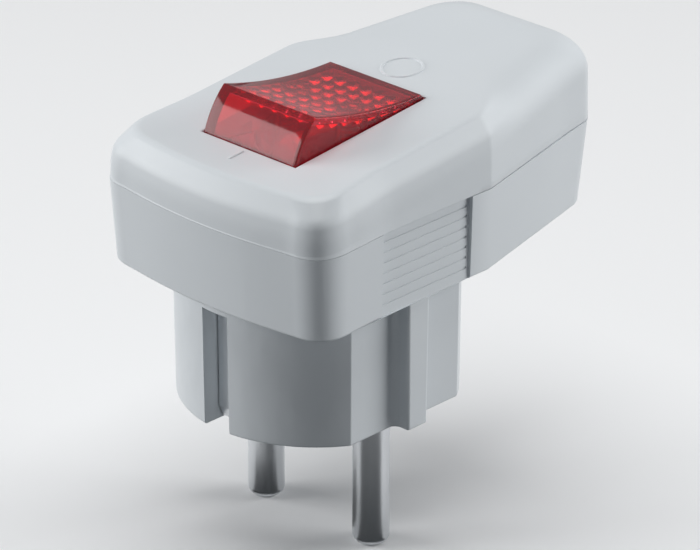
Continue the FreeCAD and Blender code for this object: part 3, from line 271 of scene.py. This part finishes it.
# Section of the bevelled sides: inset against depth under the top, as wall, slow lean, ridge, bevel, crease.
EDGE_DEPTH = 6.2
BEVEL = rounded([(0, EDGE_DEPTH), (0, 4.3), (0.26, 2.35), (1.9, 0), (3.9, 0)], (12, 3.0, 1.1), 18)[:-1]
# The front's bevel as a share of the sides', and the radius of the cord end's soft edge.
FRONT_BEVEL = 0.86
SOFT_ROUND = 5.5


def bevel_inset(depth):
    """Inset of the bevelled sides at a depth under the top."""
    return np.interp(depth, BEVEL[::-1, 1], BEVEL[::-1, 0])


def soft_inset(depth):
    """Inset of the cord end's soft edge at a depth under the top: a quarter round."""
    short = np.maximum(SOFT_ROUND - depth, 0)
    return SOFT_ROUND - np.sqrt(SOFT_ROUND ** 2 - short ** 2)


def incline(u, y, w):
    """Points of the switch's inclined frame: u along the slope and w across it, about the rocker's axle."""
    u, y, w = np.broadcast_arrays(u, y, w)
    cosine, sine = math.cos(SLOPE), math.sin(SLOPE)
    return np.stack([u * cosine - w * sine, y, AXLE_Z + u * sine + w * cosine], -1)


def window_ring(outline, w, grow):
    """The window's edge at a height w, one point for each point of the cover's outline: the outline is drawn
    in towards the window's middle, and the nearest points are moved into the four corners. The window's ends
    lie on a cylinder about the axle, so its length follows from w."""
    u = (outline[:, 0] + AXLE_DEPTH * math.sin(SLOPE)) / math.cos(SLOPE)
    y = outline[:, 1]
    reach = math.sqrt(WINDOW_RADIUS ** 2 - AXLE_DEPTH ** 2)
    share = np.minimum(reach / np.maximum(abs(u), 1e-9), WINDOW_HALF / np.maximum(abs(y), 1e-9))
    u, y = u * share, y * share
    for along in (-1, 1):
        for across in (-1, 1):
            nearest = np.argmin((u - along * reach) ** 2 + (y - across * WINDOW_HALF) ** 2)
            u[nearest], y[nearest] = along * reach, across * WINDOW_HALF
    length = math.sqrt(WINDOW_RADIUS ** 2 - w ** 2)
    return incline(u * (length + grow) / reach, y * (WINDOW_HALF + grow) / WINDOW_HALF, w)


# How far the walls of front, side, taper and cord end lean in up to the top: their heights at one degree,
# the share of it that the walls reach, and the depth under the top from which the edge counts it.
LEANS = np.array([6.6, 8.2, 10.6, 12.3]) * math.tan(math.radians(1.0))
WALL_LEAN = 0.5
LEAN_DEPTH = 12.0
# Levels of the wall as shares of its height, and how far each is drawn in as a lip at the parting line.
WALL_LEVELS = np.array([0, 0.015, 0.03, 0.3, 0.6, 0.85, 0.97])
WALL_LIP = np.array([0.13, 0.03, 0, 0, 0, 0, 0])
# Levels over the edge, the power that brings them closer towards the top, the last one's step onto the
# flat top, and how the corner rounds change: tighter with the bevel in front, wider upwards behind.
EDGE_LEVELS = 50
EDGE_POWER = 1.7
FLAT_STEP = 0.2
FRONT_TIGHTER, REAR_WIDER = 0.3, 1.4
# Rounded lip of the window: how far down each ring lies, and how far out from the window.
WINDOW_LIP = ((0, 0.45), (0, 0.25), (0.02, 0.14), (0.08, 0.05), (0.22, 0), (WALL, 0))
# Inset and corner rounds of the cover's inside.
INNER_INSET = WALL + 0.1
INNER_ROUNDS = (3, 2)


def cover_wall():
    """Outlines of the outer wall, from the parting line and the round entry up to the bevel."""
    insets = [WALL_LIP + lean * WALL_LEVELS * WALL_LEAN for lean in LEANS]
    wall = rings(*insets, CORNER_ROUND, CORNER_ROUND)
    low = COVER_FOOT + entry_rise(wall)
    z = low + (top_of(wall[..., 0]) - EDGE_DEPTH - low) * WALL_LEVELS[:, None]
    return np.dstack([wall, z])


def cover_edge():
    """Outlines over the bevel and the soft edge up to the flat top. The depth falls by a power of the share
    of the way, so that the levels lie closer towards the top."""
    depth = EDGE_DEPTH * (1 - np.linspace(0, 1, EDGE_LEVELS)) ** EDGE_POWER
    depth = np.append(depth, 0)
    shift = np.append(np.zeros(EDGE_LEVELS), FLAT_STEP)
    climb = 1 - depth / LEAN_DEPTH
    bevel, soft = bevel_inset(depth) + shift, soft_inset(depth) + shift
    insets = (bevel * FRONT_BEVEL, bevel, soft, soft)
    front_round = CORNER_ROUND - FRONT_TIGHTER * bevel
    rear_round = CORNER_ROUND + REAR_WIDER * (1 - depth / EDGE_DEPTH) ** 2
    edge = rings(*(inset + lean * climb for inset, lean in zip(insets, LEANS)), front_round, rear_round)
    return np.dstack([edge, top_of(edge[..., 0]) - depth[:, None]])


def cover_skin():
    """The cover as one closed band of outlines: up the outside from the parting line, over the bevel or the
    soft edge, across the top into the window, along the ceiling and down the inside."""
    outside = np.concatenate([cover_wall(), cover_edge()])
    window = np.array([window_ring(outside[-1], AXLE_DEPTH - down, out) for down, out in WINDOW_LIP])
    inner = rings(*[np.full(2, INNER_INSET)] * 4, *INNER_ROUNDS)
    inner_z = np.stack([top_of(inner[0, :, 0]) - WALL, COVER_FOOT + entry_rise(inner[1])])
    return sheet(filled_out(np.concatenate([outside, window, np.dstack([inner, inner_z])])), True, True)


# How far the housing's outer walls stand out past its solids: front and cord end along, front corners
# across, and the share by which each front corner's round is filled.
FRONT_OUT, SIDE_OUT, REAR_OUT = 0.6, 0.6, 0.9
CORNER_FILL = 0.10
# Start and length of each soft step, outwards from the middle along x or y, or up along z.
FRONT_STEP = (13.5, 4)
REAR_STEP = (30, 7)
CORNER_STEP_X = (5, 9)
CORNER_STEP_Y = (11, 6)
FOOT_STEP = (17.5, 0.4)
BODY_STEP = (18.5, 0.6)
# Height from which the whole outline may move, middle of a front corner's round, and its filled reach.
OVERHANG_Z = 18.2
CORNER_X, CORNER_Y = -13.1, 13.6
CORNER_REACH = 5
# The front moves by this share at the overhang and by all of it this much higher up.
LOW_SHARE, LOW_Z, LOW_RISE = 0.35, 18, 11


def filled_out(points):
    """Points of cover or shell in millimetres, moved out towards the photograph's outline: soft steps over
    x, y and z push the front, the front corners and the cord end out, and each front corner's round gets
    tighter because its points move away from the round's middle by the squared sine of twice their angle.
    Only the walls above the plug body move."""
    x, y, z = np.moveaxis(points, -1, 0)
    beside_body = np.where(z > OVERHANG_Z, 1, step(np.hypot(x, y), *BODY_STEP))
    over = beside_body * step(z, *FOOT_STEP)
    right, left = CORNER_X - x, abs(y) - CORNER_Y
    reach = np.clip(np.hypot(right, left) / CORNER_REACH, 0, 1)
    filling = CORNER_FILL * np.sin(2 * np.arctan2(left, right)) ** 2 * reach
    fill = np.where((right > 0) & (left > 0), filling, 0)
    high = LOW_SHARE + (1 - LOW_SHARE) * np.clip((z - LOW_Z) / LOW_RISE, 0, 1)
    front = FRONT_OUT * high * step(-x, *FRONT_STEP)
    at_corner = step(-x, *CORNER_STEP_X) * step(abs(y), *CORNER_STEP_Y)
    x = x + over * (-fill * right - front + REAR_OUT * step(x, *REAR_STEP))
    y = y + over * np.sign(y) * (fill * left + SIDE_OUT * at_corner)
    return np.stack([x, y, z], -1)


# Screw posts of the cover: place, distance of their top under the cover's, radius and bore.
POST_X, POST_Y = 25.5, 10
POST_SINK = 1.9
POST_RADIUS, POST_BORE = 2.9, 1.55
# Ears for the rocker's axle: half width, height above the axle, thickness and bore.
LUG_HALF, LUG_TOP, LUG_THICKNESS, LUG_BORE = 3.2, 3.4, 2, 1.55
# How square the upper half of an ear is: the power of sine and cosine, 1 for round.
LUG_SQUARE = 0.22
# The marks' ridge; place and radius of the round mark; place and half length of the straight one.
MARK_WIDTH, MARK_RISE = 0.42, 0.18
OFF_MARK_X, OFF_MARK_RADIUS = 15.4, 2.67
ON_MARK_X, ON_MARK_HALF = -14.1, 1.3
# How blunt the straight mark's ends are: the power by which its ridge shrinks there.
ON_MARK_POWER = 14


def screw_post(side):
    """Thick upright tube under the ceiling: outer circle up, inner circle down, closed both ways."""
    turn = full_turn(48)
    circle = np.stack([np.cos(turn), np.sin(turn), 0 * turn], -1)
    foot = np.array([POST_X, side * POST_Y, COVER_FOOT])
    top = np.array([POST_X, side * POST_Y, top_of(POST_X) - POST_SINK])
    levels = [foot + circle * POST_RADIUS, top + circle * POST_RADIUS,
              top + circle * POST_BORE, foot + circle * POST_BORE]
    return sheet(np.stack(levels), True, True)


def axle_lug(side):
    """Ear under the ceiling with the axle's bore: round below, squared above, its thickness outwards."""
    turn = full_turn(64)
    cosine, sine = np.cos(turn), np.sin(turn)
    power = np.where(sine > 0, LUG_SQUARE, 1.0)
    u = LUG_HALF * np.sign(cosine) * abs(cosine) ** power
    w = np.where(sine > 0, LUG_TOP, LUG_HALF) * np.sign(sine) * abs(sine) ** power
    near, far = side * WINDOW_HALF, side * (WINDOW_HALF + LUG_THICKNESS)
    bore_u, bore_w = LUG_BORE * cosine, LUG_BORE * sine
    levels = [incline(u, near, w), incline(u, far, w),
              incline(bore_u, far, bore_w), incline(bore_u, near, bore_w)]
    return sheet(np.stack(levels), True, True)


def off_mark():
    """The round mark behind the rocker: a low ridge, half round in section, carried round a circle."""
    turn = full_turn(96)[None]
    section = full_turn(12)[:, None]
    radius = OFF_MARK_RADIUS + MARK_WIDTH / 2 * np.cos(section)
    x, y = OFF_MARK_X + radius * np.cos(turn), radius * np.sin(turn)
    return sheet(np.stack([x, y, top_of(x) + MARK_RISE * np.sin(section)], -1), True, True)


def on_mark():
    """The straight mark before the rocker: the same ridge carried along a line, shrinking to its ends."""
    along = np.linspace(-1, 1, 40)[:, None]
    section = full_turn(12)[None]
    shrink = np.sqrt(np.maximum(1 - abs(along) ** ON_MARK_POWER, 0))
    x = ON_MARK_X + ON_MARK_HALF * along + 0 * section
    y = MARK_WIDTH / 2 * shrink * np.cos(section)
    return sheet(np.stack([x, y, top_of(x) + MARK_RISE * shrink * np.sin(section)], -1), False, True)


def add_cover():
    """Cover with its lugs, its screw posts and the two switch marks."""
    parts = [cover_skin(), axle_lug(-1), axle_lug(1), off_mark(), on_mark(), screw_post(-1), screw_post(1)]
    piece("cover_form", parts, "housing_plastic", "plug", "top_cover", edge=32)


# Half the width across the floors of the grip grooves, in the solid and as shown, how near to it a point
# of the floor lies, and the grips' reach along and in height.
GROOVE_FLOOR, SHALLOW_FLOOR = 17.65, 17.82
FLOOR_NEARNESS = 0.02
GRIP_REACH = 8.3
GRIP_LOW, GRIP_HIGH = 19, 28.3


def add_shell():
    """Lower housing with the plug body: its own mesh, copied and merged, with the grip grooves less than
    half as deep and the outer walls filled out as the cover's are."""
    mesh = NODES["lower_housing"].data
    points = np.empty(3 * len(mesh.vertices))
    mesh.vertices.foreach_get("co", points)
    points = points.reshape(-1, 3) / MM
    corners = np.empty(3 * len(mesh.polygons), int)
    mesh.polygons.foreach_get("vertices", corners)
    x, y, z = points.T
    in_grip = (abs(x) < GRIP_REACH) & (z > GRIP_LOW) & (z < GRIP_HIGH)
    floor = (abs(abs(y) - GROOVE_FLOOR) < FLOOR_NEARNESS) & in_grip
    points[floor, 1] = np.sign(y[floor]) * SHALLOW_FLOOR
    parts = [(filled_out(points), corners.reshape(-1, 3))]
    made = piece("shell_form", parts, "housing_plastic", "plug", "lower_housing", edge=28, merge=1e-7)
    even = made.modifiers.new("even_normals", "WEIGHTED_NORMAL")
    even.weight = 100
    even.keep_sharp = True


# The rocker, drawn about its axle: u along it, w up through its middle, turned to the off position.
HALF_TRAVEL = math.radians(13.6)
OFF_TURN = HALF_TRAVEL - SLOPE
END_RADIUS = 12.4
ROCKER_HALF = 8.0
DISH_RADIUS = 61.0
TOP_REACH = 9.5
SHELL = 1.2
EDGE_ROUND = 0.22
INNER_EDGE_ROUND = 0.3
SKIRT_ANGLE = math.radians(4)
SKIRT_W = END_RADIUS * math.sin(SKIRT_ANGLE)
# Corners and middles of the four-sided prisms under its top, along and across.
PRISM_PITCH = 2.25
PRISM_DEPTH = 1.0
PRISM_U = np.linspace(-3.5, 3.5, 15) * PRISM_PITCH
PRISM_Y = np.concatenate([
    [SHELL - ROCKER_HALF], np.linspace(-2.5, 2.5, 11) * PRISM_PITCH, [ROCKER_HALF - SHELL]])
# Stub axles and their collars: radius, and ends across the rocker.
AXLE_RADIUS, AXLE_FROM, AXLE_TO = 1.5, 6.7, 9.9
COLLAR_RADIUS, COLLAR_FROM, COLLAR_TO = 2.6, 6.8, 8.0
# Posts for the plungers: place across, lower and upper end, radius and bore.
GUIDE_Y, GUIDE_LOW, GUIDE_HIGH = 4.8, -3.5, 6.3
GUIDE_RADIUS, GUIDE_BORE = 1.9, 1.2


def tilt(u, y, w):
    """Points of the rocker's own frame at the off position."""
    u, y, w = np.broadcast_arrays(u, y, w)
    cosine, sine = math.cos(OFF_TURN), math.sin(OFF_TURN)
    return np.stack([u * cosine + w * sine, y, AXLE_Z - u * sine + w * cosine], -1)


def rocker_section(inset, edge_round):
    """Side view from the front skirt over the concave top to the rear skirt: two arcs about the axle and a
    shallow arc between them, with small arcs at the two upper edges. The inset changes each circle's
    radius, and an edge lies where the two circles cross."""
    radius, dish = END_RADIUS - inset, DISH_RADIUS + inset
    centre = math.sqrt(END_RADIUS ** 2 - TOP_REACH ** 2) + math.sqrt(DISH_RADIUS ** 2 - TOP_REACH ** 2)
    reach = np.linspace(0, TOP_REACH, 2000)
    apart = centre - np.sqrt(dish ** 2 - reach ** 2) - np.sqrt(radius ** 2 - reach ** 2)
    edge = float(np.interp(0, apart, reach))
    height = math.sqrt(radius ** 2 - edge ** 2)
    come = np.array([height, edge]) / radius
    fall = edge / math.sqrt(dish ** 2 - edge ** 2)
    leave = np.array([1, -fall]) / math.hypot(1, fall)
    corner = corner_arc(np.array([[-edge, height]]), come, leave, np.array([edge_round]), 7)[0]
    angles = np.linspace(math.asin(SKIRT_W / radius), math.atan2(corner[0, 1], -corner[0, 0]), 26)[:-1]
    end = np.stack([-radius * np.cos(angles), radius * np.sin(angles)], -1)
    before = np.linspace(corner[-1, 0], PRISM_U[0], 3)[1:-1]
    u = np.concatenate([before, PRISM_U, -before])
    top = np.stack([u, centre - np.sqrt(dish ** 2 - u ** 2)], -1)
    front = np.concatenate([end, corner])
    return np.concatenate([front, top, front[::-1] * (-1, 1)])


def outward(section):
    """Unit normals of a side view, to the left of its way."""
    way = np.gradient(section, axis=0)
    way /= np.linalg.norm(way, axis=1, keepdims=True)
    return np.stack([-way[:, 1], way[:, 0]], -1)


def folded(points):
    """A grid as triangles, each cell split so that the folds run between nodes of even row and column and
    their diagonal neighbours, as the edges of four-sided prisms do."""
    rows, columns = points.shape[:2]
    cells = quads(rows, columns)
    i, j = np.divmod(np.arange(len(cells)), columns - 1)
    even = ((i + j) % 2 == 0)[:, None, None]
    split = np.where(even, cells[:, [[0, 1, 2], [0, 2, 3]]], cells[:, [[0, 1, 3], [1, 2, 3]]])
    return points.reshape(-1, 3), split.reshape(-1, 3)


def rocker_skin():
    """Hollow rocker: outer skin, inner skin with its field of prisms, side walls and the rim below. Each
    prism's middle is let down from the grid of its corners, which stay on the inner skin."""
    outer = rocker_section(0, EDGE_ROUND)
    inner = rocker_section(SHELL, INNER_EDGE_ROUND)
    side_turn = np.linspace(0, math.pi / 2, 6)[:-1]
    low = -ROCKER_HALF + EDGE_ROUND * (1 - np.cos(side_turn))
    sink_low = EDGE_ROUND * (1 - np.sin(side_turn))
    flat = PRISM_Y / PRISM_Y[-1] * (ROCKER_HALF - EDGE_ROUND)
    y_out = np.concatenate([low, flat, -low[::-1]])
    sink = np.concatenate([sink_low, 0 * flat, sink_low[::-1]])
    skin = outer[:, None] - outward(outer)[:, None] * sink[None, :, None]
    skin[[0, -1], :, 1] = SKIRT_W
    inner[[0, -1], 1] = SKIRT_W
    roof_u = inner[:, :1] + 0 * PRISM_Y
    roof_w = inner[:, 1:] + 0 * PRISM_Y
    first = (len(inner) - len(PRISM_U)) // 2
    roof_w[first + 1:first + len(PRISM_U):2, 1::2] -= PRISM_DEPTH
    inside = np.clip(np.arange(len(y_out)) - len(low), 0, len(PRISM_Y) - 1)
    sheets = [sheet(tilt(skin[..., 0], y_out[None], skin[..., 1])),
              folded(tilt(roof_u, PRISM_Y[None], roof_w))]
    for column in (0, -1):
        out_u, out_w, out_y = skin[:, column, 0], skin[:, column, 1], y_out[column]
        in_u, in_w, in_y = roof_u[:, column], roof_w[:, column], PRISM_Y[column]
        sheets.append(sheet(tilt(np.stack([out_u, out_u]), out_y, np.stack([out_w, 0 * out_w + SKIRT_W]))))
        sheets.append(sheet(tilt(np.stack([in_u, in_u]), in_y, np.stack([in_w, 0 * in_w + SKIRT_W]))))
        sheets.append(sheet(tilt(np.stack([out_u, in_u]), np.array([[out_y], [in_y]]), SKIRT_W)))
    for row in (0, -1):
        rim_u = np.stack([skin[row, :, 0], roof_u[row][inside]])
        sheets.append(sheet(tilt(rim_u, np.stack([y_out, PRISM_Y[inside]]), SKIRT_W)))
    return sheets


def rod(start, end, radius, bore=0.0):
    """Closed rod between two points of the rocker's frame, or a thick tube where it has a bore: circles
    about the line between them, which stands square to the rocker's length."""
    start, end = np.array(start, float), np.array(end, float)
    way = (end - start) / np.linalg.norm(end - start)
    along = np.array([1.0, 0, 0])
    turn = full_turn(40)[:, None]
    circle = np.cos(turn) * along + np.sin(turn) * np.cross(way, along)
    levels = np.stack([start + bore * circle, start + radius * circle,
                       end + radius * circle, end + bore * circle])
    return sheet(tilt(levels[..., 0], levels[..., 1], levels[..., 2]), bore > 0, True)


def add_rocker():
    """Rocker with its stub axles, their collars and the two posts that hold the plungers."""
    parts = rocker_skin()
    for side in (-1, 1):
        post_y = side * GUIDE_Y
        parts.append(rod((0, side * AXLE_FROM, 0), (0, side * AXLE_TO, 0), AXLE_RADIUS))
        parts.append(rod((0, side * COLLAR_FROM, 0), (0, side * COLLAR_TO, 0), COLLAR_RADIUS))
        parts.append(rod((0, post_y, GUIDE_LOW), (0, post_y, GUIDE_HIGH), GUIDE_RADIUS, GUIDE_BORE))
    piece("rocker_form", parts, "rocker_plastic", "rocker", "rocker", edge=28)


# The studio, in metres and watts.
FLOOR_Z = -PIN_LENGTH * MM
FLOOR_REACH = 3.0
# Dark fans before the pins, seen only in reflections, where they paint a dark reflection into the pins:
# name, pin and reach of each, and for both the height over the floor, the inner radius and the angles that
# they span.
CARDS = (("live_card", -PIN_Y, 0.060), ("neutral_card", PIN_Y, 0.014))
CARD_LIFT = 0.0002
CARD_NEAR = 0.0026
CARD_TURN = np.radians(np.linspace(158, 284, 24))
# The box above: height, what it looks at, width and power.
TOP_BOX_Z, TOP_BOX_AIM, TOP_BOX_WIDTH, TOP_BOX_POWER = 0.62, 0.03, 0.52, 2.5
# The boxes to the left and right of the camera's view: place, width, power, and the power's share that
# shows in reflections. Both have the same height and look at the same point.
SIDE_BOXES = (
    ("left_box", (-0.45, 0.55, 0.19), 0.50, 4.4, 0.50),
    ("right_box", (0.53, -0.45, 0.19), 0.46, 3.8, 0.30),
)
SIDE_BOX_HEIGHT, SIDE_BOX_AIM = 0.44, 0.02


def add_light(name, at, aim_z, width, height, power):
    """Rectangular soft box that looks at a point of the plug's upright axis."""
    data = bpy.data.lights.new(name, "AREA")
    data.shape = "RECTANGLE"
    data.size = width
    data.size_y = height
    data.energy = power
    light = bpy.data.objects.new(name, data)
    light.location = at
    light.rotation_euler = (Vector((0, 0, aim_z)) - Vector(at)).to_track_quat("-Z", "Y").to_euler()
    bpy.context.scene.collection.objects.link(light)
    return light


def add_lamps():
    """One box above and one on either side, each of these made twice: a part that shows in reflections and a
    part that only lights."""
    add_light("top_box", (0.0, 0.0, TOP_BOX_Z), TOP_BOX_AIM, TOP_BOX_WIDTH, TOP_BOX_WIDTH, TOP_BOX_POWER)
    for name, at, width, power, gloss in SIDE_BOXES:
        add_light(name + "_gloss", at, SIDE_BOX_AIM, width, SIDE_BOX_HEIGHT, power * gloss)
        soft = add_light(name, at, SIDE_BOX_AIM, width, SIDE_BOX_HEIGHT, power * (1 - gloss))
        soft.visible_glossy = False


def staged(name, points, faces, paint):
    """Piece of the studio that isn't part of the plug."""
    made = bpy.data.objects.new(name, bpy.data.meshes.new(name))
    made.data.from_pydata(points, [], faces)
    made.data.materials.append(paint)
    bpy.context.scene.collection.objects.link(made)
    return made


def add_floor():
    """Pale floor at the pins' tips."""
    corners = [(x * FLOOR_REACH, y * FLOOR_REACH, FLOOR_Z) for x, y in ((-1, -1), (1, -1), (1, 1), (-1, 1))]
    staged("floor", corners, [(0, 1, 2, 3)], floor_paint())


def add_card(name, pin_y, reach):
    """Dark fan on the floor before a pin, from its foot out to a reach: two arcs about the pin's axis. It
    shows only in reflections, where it paints a dark reflection into the pin."""
    ring = np.stack([np.cos(CARD_TURN), np.sin(CARD_TURN)], -1)
    foot = np.array([0, pin_y * MM])
    arcs = foot + np.stack([ring * CARD_NEAR, ring * reach])
    height = np.full((2, len(CARD_TURN), 1), CARD_LIFT + FLOOR_Z)
    points, faces = sheet(np.concatenate([arcs, height], -1))
    card = staged(name, points, faces.tolist(), dark_reflection_paint())
    for ray in ("camera", "diffuse", "transmission", "shadow", "volume_scatter"):
        setattr(card, "visible_" + ray, False)


def add_node(tree, kind, sockets, **settings):
    """New node with its settings and the values of its input sockets."""
    made = tree.nodes.new("ShaderNode" + kind)
    for setting, value in settings.items():
        setattr(made, setting, value)
    for socket, value in sockets.items():
        made.inputs[socket].default_value = value
    return made


def shown(tree, mirrored):
    """Output of nodes that is 1 for what is looked at straight or through the rocker, a share for what is
    seen in a reflection, and 0 where it only gives light."""
    path = add_node(tree, "LightPath", {})
    looked_at = add_node(tree, "Math", {}, operation="MAXIMUM")
    reflected = add_node(tree, "Math", {1: mirrored}, operation="MULTIPLY")
    either = add_node(tree, "Math", {}, operation="MAXIMUM")
    tree.links.new(path.outputs["Is Camera Ray"], looked_at.inputs[0])
    tree.links.new(path.outputs["Is Transmission Ray"], looked_at.inputs[1])
    tree.links.new(path.outputs["Is Glossy Ray"], reflected.inputs[0])
    tree.links.new(looked_at.outputs[0], either.inputs[0])
    tree.links.new(reflected.outputs[0], either.inputs[1])
    return either.outputs[0]


def add_room():
    """World: a dim bluish room that lights the plug, and pale paper where it is looked at."""
    world = bpy.data.worlds.new("studio")
    bpy.context.scene.world = world
    world.use_nodes = True
    tree = world.node_tree
    tree.nodes.clear()
    room = add_node(tree, "Background", {"Color": (0.86, 0.92, 1.0, 1), "Strength": 0.08})
    paper = add_node(tree, "Background", {"Color": (0.90, 0.91, 0.92, 1), "Strength": 0.9})
    mix = add_node(tree, "MixShader", {})
    out = add_node(tree, "OutputWorld", {})
    tree.links.new(shown(tree, mirrored=0.5), mix.inputs[0])
    tree.links.new(room.outputs[0], mix.inputs[1])
    tree.links.new(paper.outputs[0], mix.inputs[2])
    tree.links.new(mix.outputs[0], out.inputs[0])


def add_studio():
    """Floor, dark cards before the pins that paint dark reflections into them, lamps and room, at the
    standard view transform.
    """
    add_floor()
    for name, pin_y, reach in CARDS:
        add_card(name, pin_y, reach)
    add_lamps()
    add_room()
    bpy.context.scene.view_settings.view_transform = "Standard"


def new_material(name, sockets):
    """Node material with one Principled shader and the fixed values of some of its sockets; returns the
    material, its tree and the shader."""
    made = bpy.data.materials.new(name)
    made.use_nodes = True
    tree = made.node_tree
    shader = tree.nodes["Principled BSDF"]
    for socket, value in sockets.items():
        shader.inputs[socket].default_value = value
    return made, tree, shader


def floor_paint():
    """Matt floor: pale where it is looked at, also through the rocker, and mid grey where it lights the
    plug."""
    made, tree, shader = new_material("floor_paint", {"Roughness": 0.9, "Specular IOR Level": 0.1})
    shades = {"A": (0.24, 0.25, 0.26, 1), "B": (0.90, 0.905, 0.91, 1)}
    shade = add_node(tree, "Mix", shades, data_type="RGBA")
    tree.links.new(shown(tree, mirrored=1.0), shade.inputs["Factor"])
    tree.links.new(shade.outputs["Result"], shader.inputs["Base Color"])
    return made


def dark_reflection_paint():
    """Dark grey of the card: painted shade that is seen only as the pins' dark reflection."""
    sockets = {"Base Color": (0.07, 0.075, 0.08, 1), "Roughness": 0.95, "Specular IOR Level": 0.0}
    return new_material("dark_reflection_paint", sockets)[0]


def grain(tree, shader, scale, strength, distance):
    """Fine surface grain: noise on Object coordinates, as bump. Returns the coordinates."""
    where = add_node(tree, "TexCoord", {})
    noise = add_node(tree, "TexNoise", {"Scale": scale, "Detail": 3.0})
    bump = add_node(tree, "Bump", {"Strength": strength, "Distance": distance})
    tree.links.new(where.outputs["Object"], noise.inputs["Vector"])
    tree.links.new(noise.outputs["Fac"], bump.inputs["Height"])
    tree.links.new(bump.outputs["Normal"], shader.inputs["Normal"])
    return where


def drift(tree, where, scale, low, high, target):
    """Slow variation of a value or colour over the piece: soft noise between two levels."""
    noise = add_node(tree, "TexNoise", {"Scale": scale, "Detail": 2.0})
    ramp = add_node(tree, "ValToRGB", {})
    for end, place, level in zip(ramp.color_ramp.elements, (0.3, 0.7), (low, high)):
        end.position = place
        end.color = level
    tree.links.new(where.outputs["Object"], noise.inputs["Vector"])
    tree.links.new(noise.outputs["Fac"], ramp.inputs["Fac"])
    tree.links.new(ramp.outputs["Color"], target)


def grey(value):
    """Grey level as a colour."""
    return (value, value, value, 1)


def around(colour, spread):
    """Two shades of a colour, a little darker and a little lighter."""
    darker = tuple(max(channel - spread, 0) for channel in colour)
    lighter = tuple(min(channel + spread, 1) for channel in colour)
    return darker + (1,), lighter + (1,)


def plastic(name, colour, roughness):
    """Moulded plastic: nearly even colour, faint mottle, satin sheen and a very fine grain."""
    made, tree, shader = new_material(name, {"IOR": 1.5})
    where = grain(tree, shader, scale=900, strength=0.04, distance=0.00002)
    drift(tree, where, 60, *around(colour, 0.010), shader.inputs["Base Color"])
    drift(tree, where, 140, grey(roughness - 0.02), grey(roughness + 0.03), shader.inputs["Roughness"])
    return made


def clear_red(name):
    """See-through red plastic: tinted where light goes in and out, a little milky and finely grained."""
    sockets = {"Transmission Weight": 0.87, "IOR": 1.49, "Specular IOR Level": 0.44}
    made, tree, shader = new_material(name, sockets)
    where = grain(tree, shader, scale=1500, strength=0.02, distance=0.00001)
    reds = (0.80, 0.030, 0.060, 1), (0.86, 0.040, 0.075, 1)
    drift(tree, where, 120, *reds, shader.inputs["Base Color"])
    drift(tree, where, 300, grey(0.05), grey(0.09), shader.inputs["Roughness"])
    return made


def glass(name):
    """Lamp glass, slightly warm and a little milky."""
    made, tree, shader = new_material(name, {"Transmission Weight": 0.8, "IOR": 1.47})
    where = grain(tree, shader, scale=400, strength=0.03, distance=0.00001)
    tints = (0.93, 0.90, 0.86, 1), (0.98, 0.96, 0.93, 1)
    drift(tree, where, 260, *tints, shader.inputs["Base Color"])
    drift(tree, where, 300, grey(0.02), grey(0.06), shader.inputs["Roughness"])
    return made


def metal(name, colour, roughness):
    """Plated or turned metal: reflections softened by fine lines along z, a noise drawn out that way."""
    made, tree, shader = new_material(name, {"Metallic": 1.0})
    where = add_node(tree, "TexCoord", {})
    stretch = add_node(tree, "Mapping", {"Scale": (1, 1, 0.03)})
    lines = add_node(tree, "TexNoise", {"Scale": 1800, "Detail": 1.0})
    wear = add_node(tree, "ValToRGB", {})
    for end, level in zip(wear.color_ramp.elements, (roughness - 0.02, roughness + 0.04)):
        end.color = grey(level)
    tree.links.new(where.outputs["Object"], stretch.inputs["Vector"])
    tree.links.new(stretch.outputs["Vector"], lines.inputs["Vector"])
    tree.links.new(lines.outputs["Fac"], wear.inputs["Fac"])
    tree.links.new(wear.outputs["Color"], shader.inputs["Roughness"])
    drift(tree, where, 160, *around(colour, 0.02), shader.inputs["Base Color"])
    return made


PAINTS = {
    "housing_plastic": plastic("housing_plastic", (0.665, 0.700, 0.725), 0.37),
    "rocker_plastic": clear_red("rocker_plastic"),
    "plated_metal": metal("plated_metal", (0.72, 0.74, 0.76), 0.33),
    "brass": metal("brass", (0.72, 0.53, 0.25), 0.3),
    "contact_metal": metal("contact_metal", (0.86, 0.86, 0.84), 0.35),
    "spring_steel": metal("spring_steel", (0.55, 0.56, 0.58), 0.3),
    "screw_steel": metal("screw_steel", (0.62, 0.63, 0.65), 0.32),
    "base_plastic": plastic("base_plastic", (0.72, 0.68, 0.56), 0.45),
    "clamp_plastic": plastic("clamp_plastic", (0.08, 0.085, 0.09), 0.4),
    "bush_rubber": plastic("bush_rubber", (0.14, 0.145, 0.15), 0.6),
    "lamp_glass": glass("lamp_glass"),
    "resistor_ceramic": plastic("resistor_ceramic", (0.30, 0.42, 0.55), 0.35),
}
for entry in frame["record"]["subparts"]:
    node = NODES[entry["node"]]
    node.data.materials.clear()
    node.data.materials.append(PAINTS[entry["material_slot"]])

add_cover()
add_shell()
add_rocker()
add_studio()
